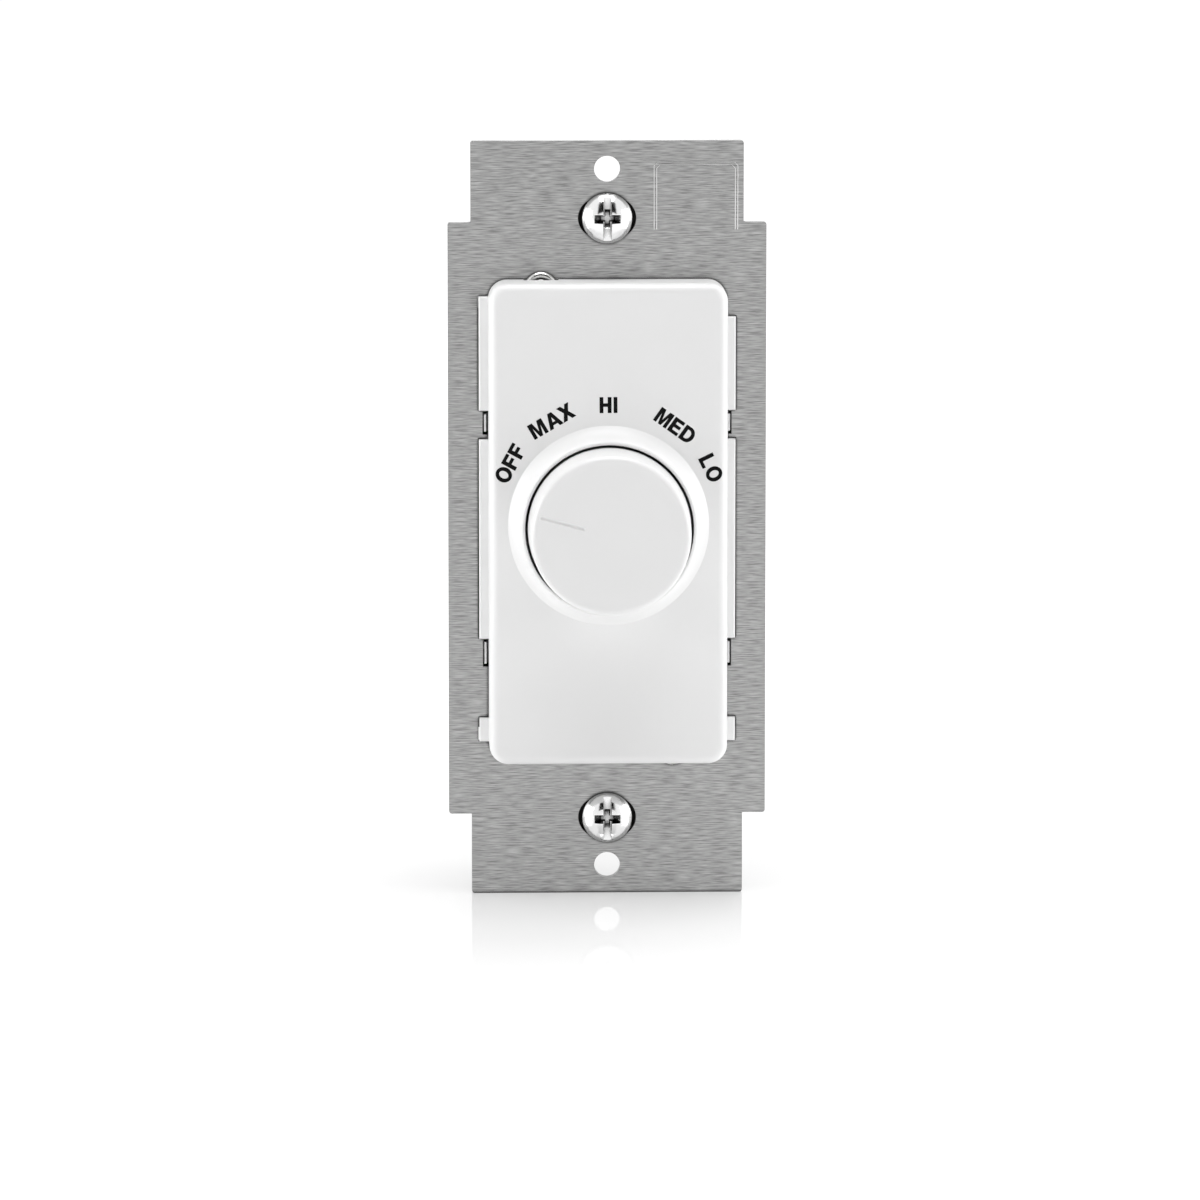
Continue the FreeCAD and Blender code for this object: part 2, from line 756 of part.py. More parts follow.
def make_detent_spring():
    """The leaf spring: two sloping arms and a rounded nose that drops into a notch."""
    level = spring_start()
    outer = detent_radius
    inner = detent_radius - spring_strip
    bottom = rotor_radius
    knee = bottom + spring_arm_rise
    end = bottom + spring_end_rise
    reach = spring_half_length

    def at(x, z):
        return Vector(x, level, z)

    edges = [
        Part.Arc(at(-outer, bottom), at(0, bottom - outer), at(outer, bottom)).toShape(),
        Part.makeLine(at(outer, bottom), at(outer * 2, knee - spring_strip)),
        Part.makeLine(at(outer * 2, knee - spring_strip), at(reach, end - spring_strip)),
        Part.makeLine(at(reach, end - spring_strip), at(reach, end)),
        Part.makeLine(at(reach, end), at(outer * 2 - spring_strip, knee)),
        Part.makeLine(at(outer * 2 - spring_strip, knee), at(inner, bottom)),
        Part.Arc(at(inner, bottom), at(0, bottom - inner), at(-inner, bottom)).toShape(),
        Part.makeLine(at(-inner, bottom), at(spring_strip - outer * 2, knee)),
        Part.makeLine(at(spring_strip - outer * 2, knee), at(-reach, end)),
        Part.makeLine(at(-reach, end), at(-reach, end - spring_strip)),
        Part.makeLine(at(-reach, end - spring_strip), at(-outer * 2, knee - spring_strip)),
        Part.makeLine(at(-outer * 2, knee - spring_strip), at(-outer, bottom)),
    ]
    return Part.Face(Part.Wire(edges)).extrude(Vector(0, spring_width, 0))


def capacitor_parts():
    """Each capacitor: its size across, deep and high, its height on the board and its lead spacing."""
    return {
        "capacitor_large": (large_capacitor_size, large_capacitor_height, large_lead_spacing),
        "capacitor_small": (small_capacitor_size, small_capacitor_height, small_lead_spacing),
    }


def make_capacitor(size, height, lead_spacing):
    """A boxed film capacitor with two straight leads through the board."""
    width, depth, tall = size
    body = rounded_slab(width, tall, board_corner_radius, board_back, board_back + depth, 0, height)
    pieces = [body]
    for side in (-1, 1):
        lead_x = side * lead_spacing / 2
        pieces.append(cylinder_y(lead_radius, board_front - lead_stand_out, board_back, lead_x, height))
    return fused(pieces)


def make_resistor(height):
    """An axial resistor lying across the board, with its leads bent down into it."""
    axis_y = board_back + resistor_board_gap + resistor_radius
    half = resistor_length / 2
    cap = resistor_length / 4
    along = Vector(1, 0, 0)
    body = Part.makeCylinder(resistor_waist_radius, resistor_length, Vector(-half, axis_y, height), along)
    pieces = [body]
    for start in (-half, half - cap):
        end_cap = Part.makeCylinder(resistor_radius, cap, Vector(start, axis_y, height), along)
        pieces.append(end_cap.makeFillet(resistor_radius / 3, end_cap.Edges[0]))
    lead_half = resistor_lead_spacing / 2
    wire = Part.makeCylinder(lead_radius, resistor_lead_spacing, Vector(-lead_half, axis_y, height), along)
    pieces.append(wire)
    leg_start = board_front + lead_clearance
    for side in (-1, 1):
        leg = cylinder_y(lead_radius, leg_start, axis_y, side * lead_half, height)
        pieces.append(leg)
        pieces.append(Part.makeSphere(lead_radius, Vector(side * lead_half, axis_y, height)))
    return fused(pieces)


def inner_size():
    """The width and height of the space inside the housing."""
    return (housing_width - 2 * housing_wall, housing_height - 2 * housing_wall)


def make_board():
    """The circuit board with a hole for every lead and tail."""
    width, height = inner_size()
    board_width = width - 2 * board_edge_clearance
    board_height = height - 2 * board_edge_clearance
    board = rounded_slab(board_width, board_height, board_corner_radius, board_front, board_back)
    holes = []
    for size, centre, spacing in capacitor_parts().values():
        for side in (-1, 1):
            radius = lead_radius + lead_clearance
            holes.append(cylinder_y(radius, board_front, board_back, side * spacing / 2, centre))
    for height_sign in (-1, 1):
        for side in (-1, 1):
            radius = lead_radius + lead_clearance
            lead_x = side * resistor_lead_spacing / 2
            lead_z = height_sign * resistor_height
            holes.append(cylinder_y(radius, board_front, board_back, lead_x, lead_z))
    for x, z in tail_places():
        holes.append(cylinder_y(tail_radius + tail_clearance, board_front, board_back, x, z))
    return board.cut(holes)


def make_housing():
    """The rear housing: drafted cup, rivet ears, board posts and an open bay for each side terminal."""
    mouth = rounded_outline(housing_width, housing_height, housing_corner_radius, 0)
    back_width = housing_width - 2 * housing_draft
    back_height = housing_height - 2 * housing_draft
    back = rounded_outline(back_width, back_height, housing_corner_radius, housing_depth)
    cup = Part.makeLoft([mouth, back], True)
    cup = cup.makeFillet(housing_back_edge_radius, edges_at_level(cup, housing_depth))
    ear = rounded_slab(ear_width, 2 * ear_end, ear_corner_radius, 0, ear_thickness)
    width, height = inner_size()
    inner_radius = housing_corner_radius - housing_wall
    space = rounded_slab(width, height, inner_radius, 0, housing_inner_back)
    bay_walls = []
    bays = []
    for side in (-1, 1):
        wall_inner = bay_floor_x - bay_floor_thickness
        wall_half = bay_height / 2 + bay_wall
        walls = block(wall_inner, housing_width, bay_start - bay_wall, housing_depth, -wall_half, wall_half)
        bay_walls.append(side_copy(walls, side))
        half = bay_height / 2
        bay = block(bay_floor_x, housing_width, bay_start, housing_depth, -half, half)
        slot_low = bay_floor_x - terminal_slot_clearance
        slot_high = bay_floor_x + terminal_plate_thickness + terminal_slot_clearance
        slot_half = terminal_tail_width / 2 + terminal_slot_clearance
        slot = block(slot_low, slot_high, bay_start - bay_wall, bay_start, -slot_half, slot_half)
        bays.append(side_copy(bay, side))
        bays.append(side_copy(slot, side))
        hole_start = Vector(side * wall_inner, terminal_screw_y, 0)
        hole_radius = terminal_screw_radius + terminal_edge_gap
        along = Vector(side, 0, 0)
        bays.append(Part.makeCylinder(hole_radius, bay_floor_thickness, hole_start, along))
    space = space.cut(bay_walls)
    posts = []
    post_start = board_back
    for side_x in (-1, 1):
        for side_z in (-1, 1):
            post_x = side_x * (width - post_size) / 2
            post_z = side_z * (height - post_size) / 2
            post = rounded_slab(post_size, post_size, inner_radius / 2, post_start, housing_inner_back,
                                post_x, post_z)
            posts.append(post)
    space = space.cut(posts)
    housing = fused([cup, ear]).cut([space] + bays)
    panel_width = 2 * (bay_floor_x - bay_floor_thickness)
    panel_height = back_height - 2 * back_panel_margin
    panel = rounded_slab(panel_width, panel_height, back_panel_corner_radius,
                         housing_depth - back_panel_depth, housing_depth)
    cuts = [panel]
    for x, z in rivet_places():
        cuts.append(cylinder_y(rivet_tube_radius + rivet_hole_clearance, 0, ear_thickness, x, z))
    return housing.cut(cuts).removeSplitter()


def make_rivet(x, z, grip_end):
    """A tubular rivet: a rolled flange on the strap and another behind the ear."""
    front = strap_front
    back = grip_end
    rim = rivet_flange_thickness
    bulge = rivet_flange_bulge
    crown = (rivet_bore_radius + rivet_flange_radius) / 2
    front_shoulder = front - rim + bulge
    back_shoulder = back + rim - bulge
    front_outer = point_at(rivet_flange_radius, front_shoulder)
    front_inner = point_at(rivet_bore_radius, front_shoulder)
    back_outer = point_at(rivet_flange_radius, back_shoulder)
    back_inner = point_at(rivet_bore_radius, back_shoulder)
    edges = [
        Part.makeLine(point_at(rivet_tube_radius, front), point_at(rivet_flange_radius, front)),
        Part.makeLine(point_at(rivet_flange_radius, front), front_outer),
        Part.Arc(front_outer, point_at(crown, front - rim), front_inner).toShape(),
        Part.makeLine(front_inner, back_inner),
        Part.Arc(back_inner, point_at(crown, back + rim), back_outer).toShape(),
        Part.makeLine(back_outer, point_at(rivet_flange_radius, back)),
        Part.makeLine(point_at(rivet_flange_radius, back), point_at(rivet_tube_radius, back)),
        Part.makeLine(point_at(rivet_tube_radius, back), point_at(rivet_tube_radius, front)),
    ]
    rivet = revolved(edges)
    rivet.translate(Vector(x, 0, z))
    return rivet


def make_terminal_plate():
    """The right-hand terminal plate in its bay, with a tail through the wall to the board."""
    low = bay_floor_x
    high = bay_floor_x + terminal_plate_thickness
    start = bay_start + terminal_edge_gap
    end = start + terminal_plate_length
    half = terminal_plate_height / 2
    plate = block(low, high, start, end, -half, half)
    tail_half = terminal_tail_width / 2
    tail = block(low, high, board_back, start, -tail_half, tail_half)
    hole_start = Vector(low, terminal_screw_y, 0)
    radius = terminal_screw_radius + running_clearance
    hole = Part.makeCylinder(radius, terminal_plate_thickness, hole_start, Vector(1, 0, 0))
    return fused([plate, tail]).cut(hole)


def make_clamp():
    """A pressure plate lying on its terminal at the origin, its axis along X, with two folded lips."""
    half = clamp_width / 2
    plate = block(0, clamp_thickness, -half, half, -half, half)
    lip_height = clamp_thickness + clamp_lip
    lips = []
    for side in (-1, 1):
        lip_low = min(side * half, side * (half - clamp_thickness / 2))
        lips.append(block(0, lip_height, -half, half, lip_low, lip_low + clamp_thickness / 2))
    radius = terminal_screw_radius + running_clearance
    hole = Part.makeCylinder(radius, clamp_thickness, Vector(0, 0, 0), Vector(1, 0, 0))
    return fused([plate] + lips).cut(hole)


def make_terminal_screw(length):
    """A slotted binding screw along X, with its head resting at the origin and its tip at -X."""
    along = Vector(1, 0, 0)
    chamfer = screw_point_chamfer
    shank = Part.makeCylinder(terminal_screw_radius, length, Vector(-length, 0, 0), along)
    tip = [edge for edge in shank.Edges if edge.BoundBox.XMax < -length + 1e-4]
    shank = shank.makeChamfer(chamfer, tip)
    head = Part.makeCylinder(terminal_head_radius, terminal_head_height, Vector(0, 0, 0), along)
    rim = [edge for edge in head.Edges if edge.BoundBox.XMin > terminal_head_height - 1e-4]
    head = head.makeFillet(terminal_head_height - terminal_head_edge, rim)
    slot_low = terminal_head_height - terminal_slot_depth
    half = terminal_slot_width / 2
    reach = terminal_head_radius
    slot = block(slot_low, terminal_head_height, -reach, reach, -half, half)
    return fused([shank, head]).cut(slot)


def moved(shape, x, y, z):
    """A copy moved from the origin to its place."""
    copy = shape.copy()
    copy.translate(Vector(x, y, z))
    return copy


def turned_down(shape):
    """A copy with its X axis turned to point down, along -Z."""
    copy = shape.copy()
    copy.rotate(Vector(0, 0, 0), Vector(0, 1, 0), 90)
    return copy


def make_ground_bracket():
    """The bent bracket: a foot under the lower rivet and a tapped leg that reaches back."""
    thickness = ground_bracket_thickness
    bend = ground_bend_radius
    half = ground_bracket_width / 2
    foot_top = -(housing_height / 2 + terminal_edge_gap)
    leg_low = ground_leg_face
    leg_high = leg_low + thickness
    end = ground_plate_y + ground_bracket_reach
    foot = block(rivet_x - half, rivet_x + half, ear_thickness, ground_plate_y, leg_low, foot_top)
    leg = block(rivet_x - half, rivet_x + half, ear_thickness, end, leg_low, leg_high)
    bracket = fused([foot, leg])
    corner = []
    for edge in bracket.Edges:
        box = edge.BoundBox
        along_x = box.XLength > ground_bracket_width - 1e-3
        if along_x and abs(box.YMax - ear_thickness) < 1e-4 and abs(box.ZMax - leg_low) < 1e-4:
            corner.append(edge)
    bracket = bracket.makeFillet(bend, corner)
    hole_radius = terminal_screw_radius + running_clearance
    tapped_start = Vector(rivet_x, ground_screw_y, leg_low)
    tapped = Part.makeCylinder(hole_radius, thickness, tapped_start, Vector(0, 0, 1))
    rivet_hole = rivet_tube_radius + rivet_hole_clearance
    return bracket.cut([tapped, cylinder_y(rivet_hole, ear_thickness, ground_plate_y, rivet_x, -rivet_z)])


def make_cross_recess(front):
    """The tapered cross of a screwdriver recess, narrowing towards its floor."""
    solids = []
    floor = front + cross_recess_depth
    for turn in (0, 90):
        wires = []
        for level, share in ((front, 1.0), (floor, cross_recess_taper)):
            half_span = cross_recess_span / 2 * share
            half_arm = cross_recess_arm / 2 * share
            corners = ((half_span, half_arm), (-half_span, half_arm),
                       (-half_span, -half_arm), (half_span, -half_arm))
            points = [Vector(x, level, z) for x, z in corners]
            wires.append(Part.makePolygon(points + points[:1]))
        solids.append(turned(Part.makeLoft(wires, True), turn))
    return fused(solids)


def make_box_screw():
    """A box screw along Y: domed head with a slot and a cross recess, plain neck and threaded shank."""
    front = strap_front - box_head_height
    edge_level = strap_front - box_head_edge
    end = strap_front + box_screw_length
    rim = point_at(box_head_radius, strap_front)
    edge_top = point_at(box_head_radius, edge_level)
    dome_middle = point_at(box_dome_shoulder_radius, front + box_dome_shoulder_drop)
    neck_end = strap_front + box_neck_length
    under_head = point_at(box_neck_radius, strap_front)
    neck_bottom = point_at(box_neck_radius, neck_end)
    thread_top = point_at(box_screw_radius, neck_end)
    tip_side = point_at(box_screw_radius, end - screw_point_chamfer)
    tip_end = point_at(box_screw_radius - screw_point_chamfer, end)
    edges = [
        Part.Arc(point_at(0, front), dome_middle, edge_top).toShape(),
        Part.makeLine(edge_top, rim),
        Part.makeLine(rim, under_head),
        Part.makeLine(under_head, neck_bottom),
        Part.makeLine(neck_bottom, thread_top),
        Part.makeLine(thread_top, tip_side),
        Part.makeLine(tip_side, tip_end),
        Part.makeLine(tip_end, point_at(0, end)),
        Part.makeLine(point_at(0, end), point_at(0, front)),
    ]
    screw = revolved(edges)
    half = box_driver_slot_width / 2
    reach = box_head_radius
    slot = block(-half, half, front, front + box_driver_slot_depth, -reach, reach)
    return screw.cut([slot, make_cross_recess(front)])


def make_retainer():
    """The square fibre washer that keeps a box screw in its slot."""
    plate = rounded_slab(retainer_size, retainer_size, retainer_corner_radius, 0, retainer_thickness)
    return plate.cut(cylinder_y(box_neck_radius + running_clearance, 0, retainer_thickness))


def all_parts():
    """Every piece in its place, by name."""
    parts = {
        "mounting_strap": make_strap(),
        "insulating_barrier": make_barrier(),
        "face_frame": make_face_frame(),
        "knob": make_knob(),
        "knob_spring_clip": make_spring_clip(),
        "selector_shaft": make_shaft(),
        "switch_bushing": make_bushing(),
        "lock_washer": make_lock_washer(),
        "bushing_nut": make_nut(),
        "switch_cover": make_cover(),
        "switch_base": make_base(),
        "switch_rotor": make_rotor(),
        "wiper_contact": make_wiper(),
        "detent_spring": make_detent_spring(),
        "contact_common": make_common_contact(),
        "circuit_board": make_board(),
        "bleed_resistor_upper": make_resistor(resistor_height),
        "bleed_resistor_lower": make_resistor(-resistor_height),
        "rear_housing": make_housing(),
        "ground_bracket": make_ground_bracket(),
    }
    for name, angle in speed_contacts():
        parts["contact_" + name] = make_speed_contact(angle)
    for name, (size, height, spacing) in capacitor_parts().items():
        parts[name] = make_capacitor(size, height, spacing)
    upper, lower = rivet_places()
    parts["rivet_upper"] = make_rivet(upper[0], upper[1], ear_thickness)
    parts["rivet_lower"] = make_rivet(lower[0], lower[1], ground_plate_y)
    plate = make_terminal_plate()
    clamp_x = bay_floor_x + terminal_plate_thickness
    clamp = moved(make_clamp(), clamp_x, terminal_screw_y, 0)
    screw = moved(make_terminal_screw(terminal_screw_length), clamp_x + clamp_thickness, terminal_screw_y, 0)
    for name, side in (("line", -1), ("load", 1)):
        parts["terminal_plate_" + name] = side_copy(plate, side)
        parts["clamp_plate_" + name] = side_copy(clamp, side)
        parts["terminal_screw_" + name] = side_copy(screw, side)
    ground_clamp = turned_down(make_clamp())
    parts["ground_clamp"] = moved(ground_clamp, rivet_x, ground_screw_y, ground_leg_face)
    ground_screw = turned_down(make_terminal_screw(ground_screw_length))
    ground_head_z = ground_leg_face - clamp_thickness
    parts["ground_screw"] = moved(ground_screw, rivet_x, ground_screw_y, ground_head_z)
    for name, end in (("upper", 1), ("lower", -1)):
        height = end * box_screw_spacing / 2
        parts["mounting_screw_" + name] = moved(make_box_screw(), 0, 0, height)
        parts["screw_retainer_" + name] = moved(make_retainer(), 0, 0, height)
    return parts


os.makedirs("parts", exist_ok=True)
for node, shape in all_parts().items():
    shape.exportStep("parts/" + node + ".step")
    print(node, "solids", len(shape.Solids), "valid", shape.isValid(), "volume", round(shape.Volume, 2))
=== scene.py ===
"""Looks of a rotary fan speed control for a wall box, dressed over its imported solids.

Meshes are in metres, in the frame of the solids: X to the right as seen from the room, Z up and Y into the
wall, with the origin midway between the two box screws on the back face of the strap. The sizes of the
switch are written in millimetres.
"""

import json
import logging
import math
from dataclasses import dataclass
from enum import Enum

import bmesh
import bpy
from mathutils import Matrix, Vector


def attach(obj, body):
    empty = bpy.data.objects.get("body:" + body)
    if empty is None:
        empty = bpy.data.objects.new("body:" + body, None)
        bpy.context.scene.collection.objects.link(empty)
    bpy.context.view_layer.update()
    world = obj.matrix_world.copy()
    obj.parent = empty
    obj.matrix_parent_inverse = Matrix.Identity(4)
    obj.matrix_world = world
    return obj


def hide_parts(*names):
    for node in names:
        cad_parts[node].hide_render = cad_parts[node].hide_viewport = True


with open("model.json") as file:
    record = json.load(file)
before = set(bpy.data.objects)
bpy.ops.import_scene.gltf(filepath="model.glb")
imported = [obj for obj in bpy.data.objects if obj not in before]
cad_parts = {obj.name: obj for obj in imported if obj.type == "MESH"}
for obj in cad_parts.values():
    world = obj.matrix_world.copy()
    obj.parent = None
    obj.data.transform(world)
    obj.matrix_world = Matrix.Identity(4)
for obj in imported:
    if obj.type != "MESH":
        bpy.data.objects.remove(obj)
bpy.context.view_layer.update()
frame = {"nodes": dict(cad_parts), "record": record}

LOG = logging.getLogger("fan_speed_control")
MM = 0.001
# How near two points are one, on a fine curve or cut and on a node's loose triangles.
HAIR_MM = 0.0001
WELD_MM = 0.001
# The angles up to which faces join, from which an edge is broken and up to which it is shaded smooth.
FLAT_DEG = 0.4
SHARP_DEG = 35.0
SMOOTH_DEG = 32.0
EASE_FACES = 2
OVAL_STEPS = 40
STRAP_FRONT = -1.5
WHITE = (1.0, 1.0, 1.0, 1.0)
Colour = tuple[float, float, float]
Sizes = tuple[float, float, float]
Point = tuple[float, float]
Feed = float | tuple[float, ...] | bpy.types.NodeSocket


class BrushAxis(Enum):
    """The direction in which a metal surface was brushed."""

    ALONG_X = 0
    ALONG_Y = 1


class Detail(Enum):
    """How many finer layers lie over the first one of a noise."""

    PLAIN = 2.0
    FINE = 3.0
    MATTED = 4.0


class NodeSheet:
    """A node tree in the making, with short calls for its nodes."""

    def __init__(self, tree: bpy.types.NodeTree) -> None:
        """Empties a tree, to start it afresh."""
        tree.nodes.clear()
        self.nodes = tree.nodes
        self.links = tree.links

    def fill(self, node: bpy.types.Node, inputs: dict[str | int, Feed]) -> None:
        """Links or sets some of a node's inputs.

        Args:
            node: The node.
            inputs: For an input's name or number, the socket that feeds it or its plain value.
        """
        for key, feed in inputs.items():
            if isinstance(feed, bpy.types.NodeSocket):
                self.links.new(feed, node.inputs[key])
            else:
                node.inputs[key].default_value = feed

    def add(self, kind: str, inputs: dict[str | int, Feed]) -> bpy.types.Node:
        """Adds a node of some type and fills its inputs."""
        node = self.nodes.new(kind)
        self.fill(node, inputs)
        return node

    def maths(self, operation: str, *values: Feed, kind: str = "ShaderNodeMath") -> bpy.types.NodeSocket:
        """One step of arithmetic.

        Args:
            operation: What is done, in the node's own word.
            values: The numbers or directions that it is done with.
            kind: The node's type, for numbers or for directions.

        Returns:
            The socket that carries the number that comes out.
        """
        node = self.nodes.new(kind)
        node.operation = operation
        self.fill(node, dict(enumerate(values)))
        return node.outputs["Value"]

    def spread(self, value: Feed, low: float, high: float, start: float, end: float) -> bpy.types.NodeSocket:
        """Carries a value from one range to another.

        Args:
            value: The pattern to carry over.
            low: What the result is where the pattern is at start or under it.
            high: What the result is where the pattern is at end or over it.
            start: The low end of the pattern's own range.
            end: The high end of the pattern's own range.

        Returns:
            The socket with the new range.
        """
        node = self.add("ShaderNodeMapRange", {
            "Value": value, "From Min": start, "From Max": end, "To Min": low, "To Max": high,
        })
        return node.outputs["Result"]


class MaterialSheet(NodeSheet):
    """A material in the making."""

    def __init__(self, name: str) -> None:
        """Starts a material with no nodes."""
        self.material = bpy.data.materials.new(name)
        self.material.use_nodes = True
        super().__init__(self.material.node_tree)

    def surface(self, shader: bpy.types.NodeSocket) -> bpy.types.Material:
        """The material, with a shader as its surface."""
        self.add("ShaderNodeOutputMaterial", {"Surface": shader})
        return self.material


class ShaderSheet(MaterialSheet):
    """A piece's material in the making: one shader and the patterns that feed it.

    Most values of a noise lie between NOISE_LOW and NOISE_HIGH. EDGE_FULL and EDGE_CLEAR say how well the
    rounded direction agrees with the flat one where the mask along an edge is full, and where it ends.
    """

    NOISE_LOW = 0.3
    NOISE_HIGH = 0.7
    EDGE_SAMPLES = 4
    EDGE_FULL = 0.80
    EDGE_CLEAR = 0.99
    SKY_SAMPLES = 8

    def __init__(self, name: str, colour: Colour, roughness: float, metallic: float) -> None:
        """Starts a material with one shader whose plain values are set.

        Args:
            name: The material's name.
            colour: The base colour, in linear light.
            roughness: The shader's roughness.
            metallic: 1 for bare metal and 0 for all else.
        """
        super().__init__(name)
        self.shader = self.add("ShaderNodeBsdfPrincipled", {
            "Base Color": (*colour, 1.0), "Roughness": roughness, "Metallic": metallic,
        })
        self.surface(self.shader.outputs["BSDF"])
        self.place = self.add("ShaderNodeTexCoord", {}).outputs["Object"]
        self.normal: bpy.types.NodeSocket | None = None

    def put(self, socket: str, feed: Feed) -> None:
        """Sets a plain value on one of the shader's own sockets, or links a pattern to it."""
        self.fill(self.shader, {socket: feed})

    def noise(self, cell_mm: Sizes, detail: Detail = Detail.PLAIN) -> bpy.types.NodeSocket:
        """Noise with cells of a real size.

        Args:
            cell_mm: The size of a cell along X, Y and Z.
            detail: How fine its smallest layers are.

        Returns:
            The socket that carries the noise, from 0 to 1.
        """
        mapping = self.add("ShaderNodeMapping", {
            "Vector": self.place, "Scale": tuple(1.0 / (size * MM) for size in cell_mm),
        })
        noise = self.add("ShaderNodeTexNoise", {
            "Vector": mapping.outputs["Vector"], "Scale": 1.0, "Detail": detail.value,
        })
        return noise.outputs["Fac"]

    def contrast(self, noise: bpy.types.NodeSocket, low: float, high: float) -> bpy.types.NodeSocket:
        """Noise stretched from its usual range to one between two values."""
        return self.spread(noise, low, high, self.NOISE_LOW, self.NOISE_HIGH)

    def between(
        self, share: bpy.types.NodeSocket, first: Colour | bpy.types.NodeSocket, second: Colour
    ) -> bpy.types.NodeSocket:
        """A colour that goes from one to another as a pattern goes from 0 to 1.

        Args:
            share: The pattern.
            first: The colour at 0, or a socket that carries it.
            second: The colour at 1.

        Returns:
            The socket that carries the colour.
        """
        node = self.nodes.new("ShaderNodeMix")
        node.data_type = "RGBA"
        start = first if isinstance(first, bpy.types.NodeSocket) else (*first, 1.0)
        self.fill(node, {"Factor": share, 6: start, 7: (*second, 1.0)})
        return node.outputs[2]

    def raise_surface(self, height: bpy.types.NodeSocket, depth_mm: float, strength: float) -> None:
        """Adds fine relief to the surface, over the relief that it has.

        Args:
            height: The pattern of the relief.
            depth_mm: How deep its full range is.
            strength: How much of it the light shows.
        """
        inputs = {"Height": height, "Strength": strength, "Distance": depth_mm * MM}
        if self.normal is not None:
            inputs["Normal"] = self.normal
        self.normal = self.add("ShaderNodeBump", inputs).outputs["Normal"]
        self.put("Normal", self.normal)

    def near_edges(self, reach_mm: float) -> bpy.types.NodeSocket:
        """A mask that is 1 along sharp edges, where a surface wears, and 0 away from them."""
        rounded = self.add("ShaderNodeBevel", {"Radius": reach_mm * MM})
        rounded.samples = self.EDGE_SAMPLES
        flat = self.add("ShaderNodeNewGeometry", {})
        agreement = self.maths(
            "DOT_PRODUCT", rounded.outputs["Normal"], flat.outputs["Normal"], kind="ShaderNodeVectorMath",
        )
        return self.spread(agreement, 1.0, 0.0, self.EDGE_FULL, self.EDGE_CLEAR)

    def hollows(self, reach_mm: float, sky: Point) -> bpy.types.NodeSocket:
        """A mask that is 1 in slots and corners, where little light falls, and 0 in the open.

        Args:
            reach_mm: How far away a wall may be and still count.
            sky: The open shares of the sky at which the mask is full and at which it ends.

        Returns:
            The socket that carries the mask.
        """
        depth = self.add("ShaderNodeAmbientOcclusion", {"Distance": reach_mm * MM})
        depth.samples = self.SKY_SAMPLES
        return self.spread(depth.outputs["AO"], 1.0, 0.0, *sky)


@dataclass(frozen=True)
class Finish:
    """What every finish has: the record's slot, its colour, its plain shader values and their swing."""

    slot: str
    colour: Colour
    roughness: float
    metallic: float = 0.0
    swing: float = 0.04
    smoother: float = 0.04
    rougher: float = 0.05

    def shade(self, share: float) -> Colour:
        """The colour made lighter or darker by a share of itself."""
        return tuple(min(1.0, part * (1.0 + share)) for part in self.colour)

    def tone(self, sheet: ShaderSheet, noise: bpy.types.NodeSocket) -> bpy.types.NodeSocket:
        """The colour, darker and lighter by its swing as a noise goes down and up."""
        return sheet.between(sheet.contrast(noise, 0.0, 1.0), self.shade(-self.swing), self.shade(self.swing))

    def vary_gloss(self, sheet: ShaderSheet, noise: bpy.types.NodeSocket) -> None:
        """Lets the roughness go down and up with a noise."""
        smooth, rough = self.roughness - self.smoother, self.roughness + self.rougher
        sheet.put("Roughness", sheet.contrast(noise, smooth, rough))

    def pattern(self, sheet: ShaderSheet) -> None:
        """Adds the nodes of this finish to a started material."""

    def material(self) -> bpy.types.Material:
        """The finished material."""
        sheet = ShaderSheet(self.slot, self.colour, self.roughness, self.metallic)
        self.pattern(sheet)
        return sheet.material


@dataclass(frozen=True)
class BrushedMetal(Finish):
    """Sheet metal with long fine brush strokes."""

    smoother: float = 0.06
    rougher: float = 0.08
    axis: BrushAxis = BrushAxis.ALONG_X
    stroke_mm: float = 7.0
    line_mm: float = 0.15
    broad_length: float = 3.0
    broad_width: float = 5.0
    veil: float = 0.35
    edge_mm: float = 0.12
    edge_share: float = 0.35
    # Painted shade along the foot of every part that stands on the metal: its reach, sky shares and
    # darkening.
    contact_mm: float = 0.6
    contact_sky: Point = (0.55, 0.90)
    contact_shade_share: float = -0.85
    relief_mm: float = 0.006
    relief_strength: float = 0.6

    def strokes(
        self, sheet: ShaderSheet, length: float, width: float, detail: Detail
    ) -> bpy.types.NodeSocket:
        """Noise drawn out along the brushed direction."""
        cell = [width, width, width]
        cell[self.axis.value] = length
        return sheet.noise(tuple(cell), detail)

    def pattern(self, sheet: ShaderSheet) -> None:
        """Fine strokes over broad ones, edges that differ from the flats, and painted shade where pieces
        touch.
        """
        fine = self.strokes(sheet, self.stroke_mm, self.line_mm, Detail.FINE)
        length, width = self.stroke_mm * self.broad_length, self.line_mm * self.broad_width
        broad = self.strokes(sheet, length, width, Detail.PLAIN)
        veiled = sheet.contrast(broad, 0.0, self.veil)
        streaked = sheet.between(veiled, self.tone(sheet, fine), self.shade(-self.swing))
        worn = sheet.between(sheet.near_edges(self.edge_mm), streaked, self.shade(self.edge_share))
        # Painted shade: the colour darkens where a nearby part hides the sky, as a contact shadow.
        painted_contact_shade = sheet.hollows(self.contact_mm, self.contact_sky)
        sheet.put("Base Color", sheet.between(painted_contact_shade, worn, self.shade(self.contact_shade_share)))
        self.vary_gloss(sheet, fine)
        sheet.raise_surface(fine, self.relief_mm, self.relief_strength)


